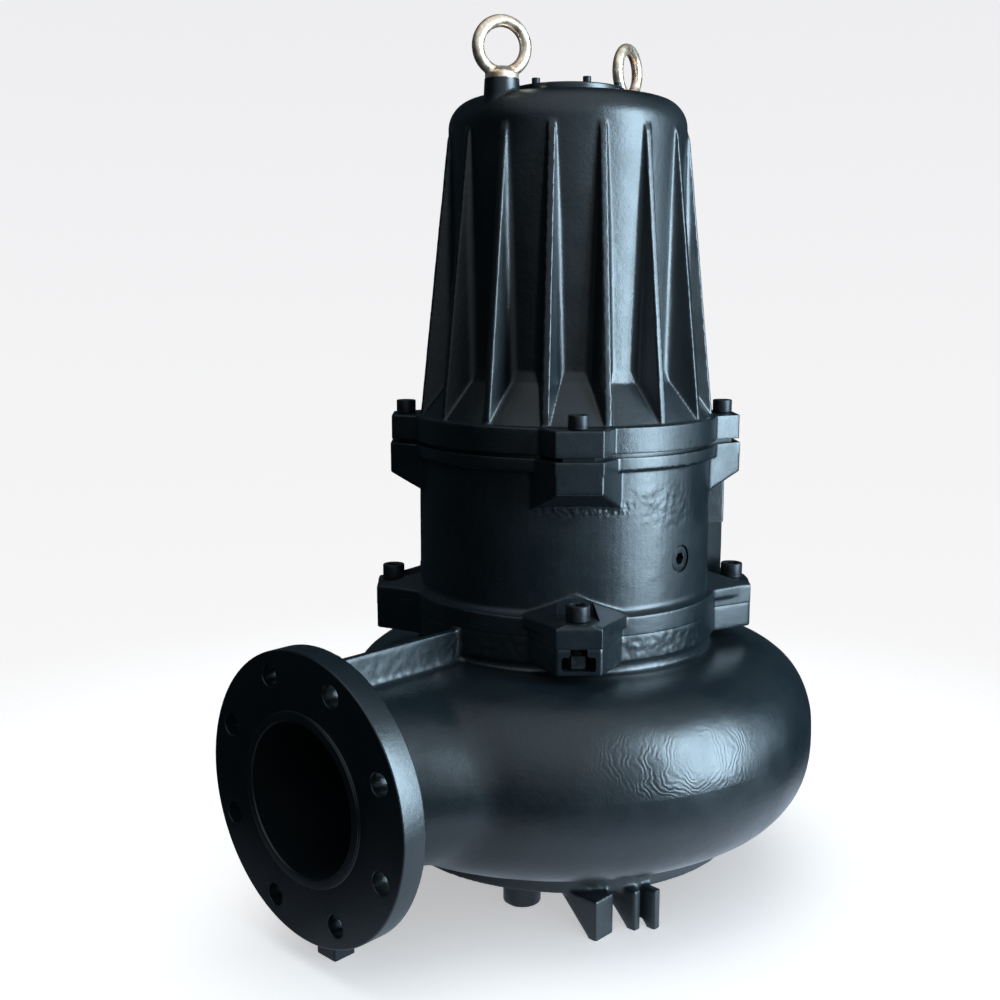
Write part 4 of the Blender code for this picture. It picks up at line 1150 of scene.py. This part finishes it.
def cap_screw(node_name, x, y, seat, d, length, flip=False):
    head = d * HEAD_R
    profile = [(0.0, d), (head, d), (head, 0.0), (d / 2.0, 0.0), (d / 2.0, -length), (0.0, -length)]
    frame = shift(x, y, seat)
    if flip:
        frame = frame @ Matrix.Rotation(pi, 4, "X")
    ob = body(node_name + "_turned", turned(rounded(profile, HEAD_ROUND * d), frame, 48))
    socket = d * SOCKET_R
    cone = [(0.0, d + 2.0), (socket + 2.4, d + 2.0), (socket - 0.8, d - 1.2), (0.0, d - 1.2)]
    machined(ob, [rods(socket, d * SOCKET_FLOOR, d + 3.0, matrix=frame, sides=6), turned(cone, frame, 48)])
    return finished(ob, node_name, BLACK_OXIDE, SCREW_SHARP)


def nut(node_name, x, y, az):
    low, high, reach = V_TOP - 21.0, V_TOP - 8.0 - GAP, 13.4
    frame = shift(x, y, 0.0) @ spin_z(az)
    ob = body(node_name + "_milled", rods(reach, low, high, matrix=frame, sides=6))
    outside = [(reach - 1.5, low - 1.0), (reach + 4.0, low - 1.0), (reach + 4.0, low + 2.2)]
    machined(ob, [rods(SCREW_16_R, low - 5.0, high + 5.0, matrix=frame), turned(outside, frame, 48)])
    return finished(ob, node_name, BLACK_OXIDE, SCREW_SHARP)


CORNERS = ("left_front", "right_front", "right_rear", "left_rear")
for az, corner in zip(EAR_AZ, CORNERS):
    cap_screw("motor_flange_screw_" + corner, *polar(UP_PCR, az), MH_FL + GAP, 14.0, 46.0)
    cap_screw("casing_screw_" + corner, *polar(LO_PCR, az), LO_SEAT + GAP, 16.0, LO_SEAT - V_TOP + 22.0)
    nut("casing_nut_" + corner, *polar(LO_PCR, az), az)
for i, (x, y) in enumerate(TC_SCREWS):
    cap_screw("cover_screw_%d" % (i + 1), x, y, TC_TOP + GAP, 5.7, 18.0)
for i, (x, y) in enumerate(ST_SCREWS):
    cap_screw("stand_screw_%d" % (i + 1), x, y, ST_SEAT - GAP, 12.0, 42.0, flip=True)
cap_screw("impeller_screw", 0.0, 0.0, HUB_LOW - GAP, 12.0, 90.0, flip=True)


# %% Oil plug
def oil_plug():
    out = SH_R - 1.5
    profile = [(0.0, out), (PLUG_R, out), (PLUG_R, out - 14.0), (0.0, out - 14.0)]
    ob = body("oil_plug_turned", turned(rounded(profile, 1.2), PLUG_OUT, 48))
    machined(ob, [rods(6.9, out - 8.0, out + 5.0, matrix=PLUG_OUT, sides=6)])
    return finished(ob, "oil_plug", BLACK_OXIDE, SCREW_SHARP)


oil_plug()


# %% [markdown]
# ## Lifting eyes
# A lifting eye is forged in one piece: a ring, a short neck and a collar that sits on the boss. The
# ring is a spun circle, the collar a turned body, and the same skin as on the castings, but finer,
# draws the soft fillet between them.

# %% Eye bolts
EYE_RING_R, EYE_ROD_R, EYE_CENTRE, EYE_COLLAR_R = 24.9, 6.2, 31.0, 17.0


def eye_bolt(node_name, y, az):
    seat = EYE_BOSS_TOP + GAP
    collar = [(0.0, seat + 12.0), (8.0, seat + 12.0), (11.0, seat + 9.5), (EYE_COLLAR_R - 1.5, seat + 7.0),
              (EYE_COLLAR_R, seat + 5.0), (EYE_COLLAR_R, seat - 3.0), (0.0, seat - 3.0)]
    rod = arc(EYE_RING_R, 0.0, EYE_ROD_R, EYE_ROD_R, 0.0, 345.0, 23)
    frame = shift(0.0, y, seat + EYE_CENTRE) @ spin_z(az) @ UPRIGHT_X
    ob = cast(node_name + "_forging", [turned(collar, shift(0.0, y, 0.0), 96), turned(rod, frame, 128)],
              voxel=0.7, rounds=5, uneven=0.12, size=9.0, keep=0.5)
    around = shift(0.0, y, 0.0)
    machined(ob, [rods(30.0, seat - 10.0, seat, matrix=around)])
    fitted(ob, [rods(8.0, seat - 26.0, seat + 2.0, matrix=around, sides=48)])
    return finished(ob, node_name, ZINC)


eye_bolt("eye_bolt_front", -EYE_R, 60.5)
eye_bolt("eye_bolt_rear", EYE_R, 102.5)
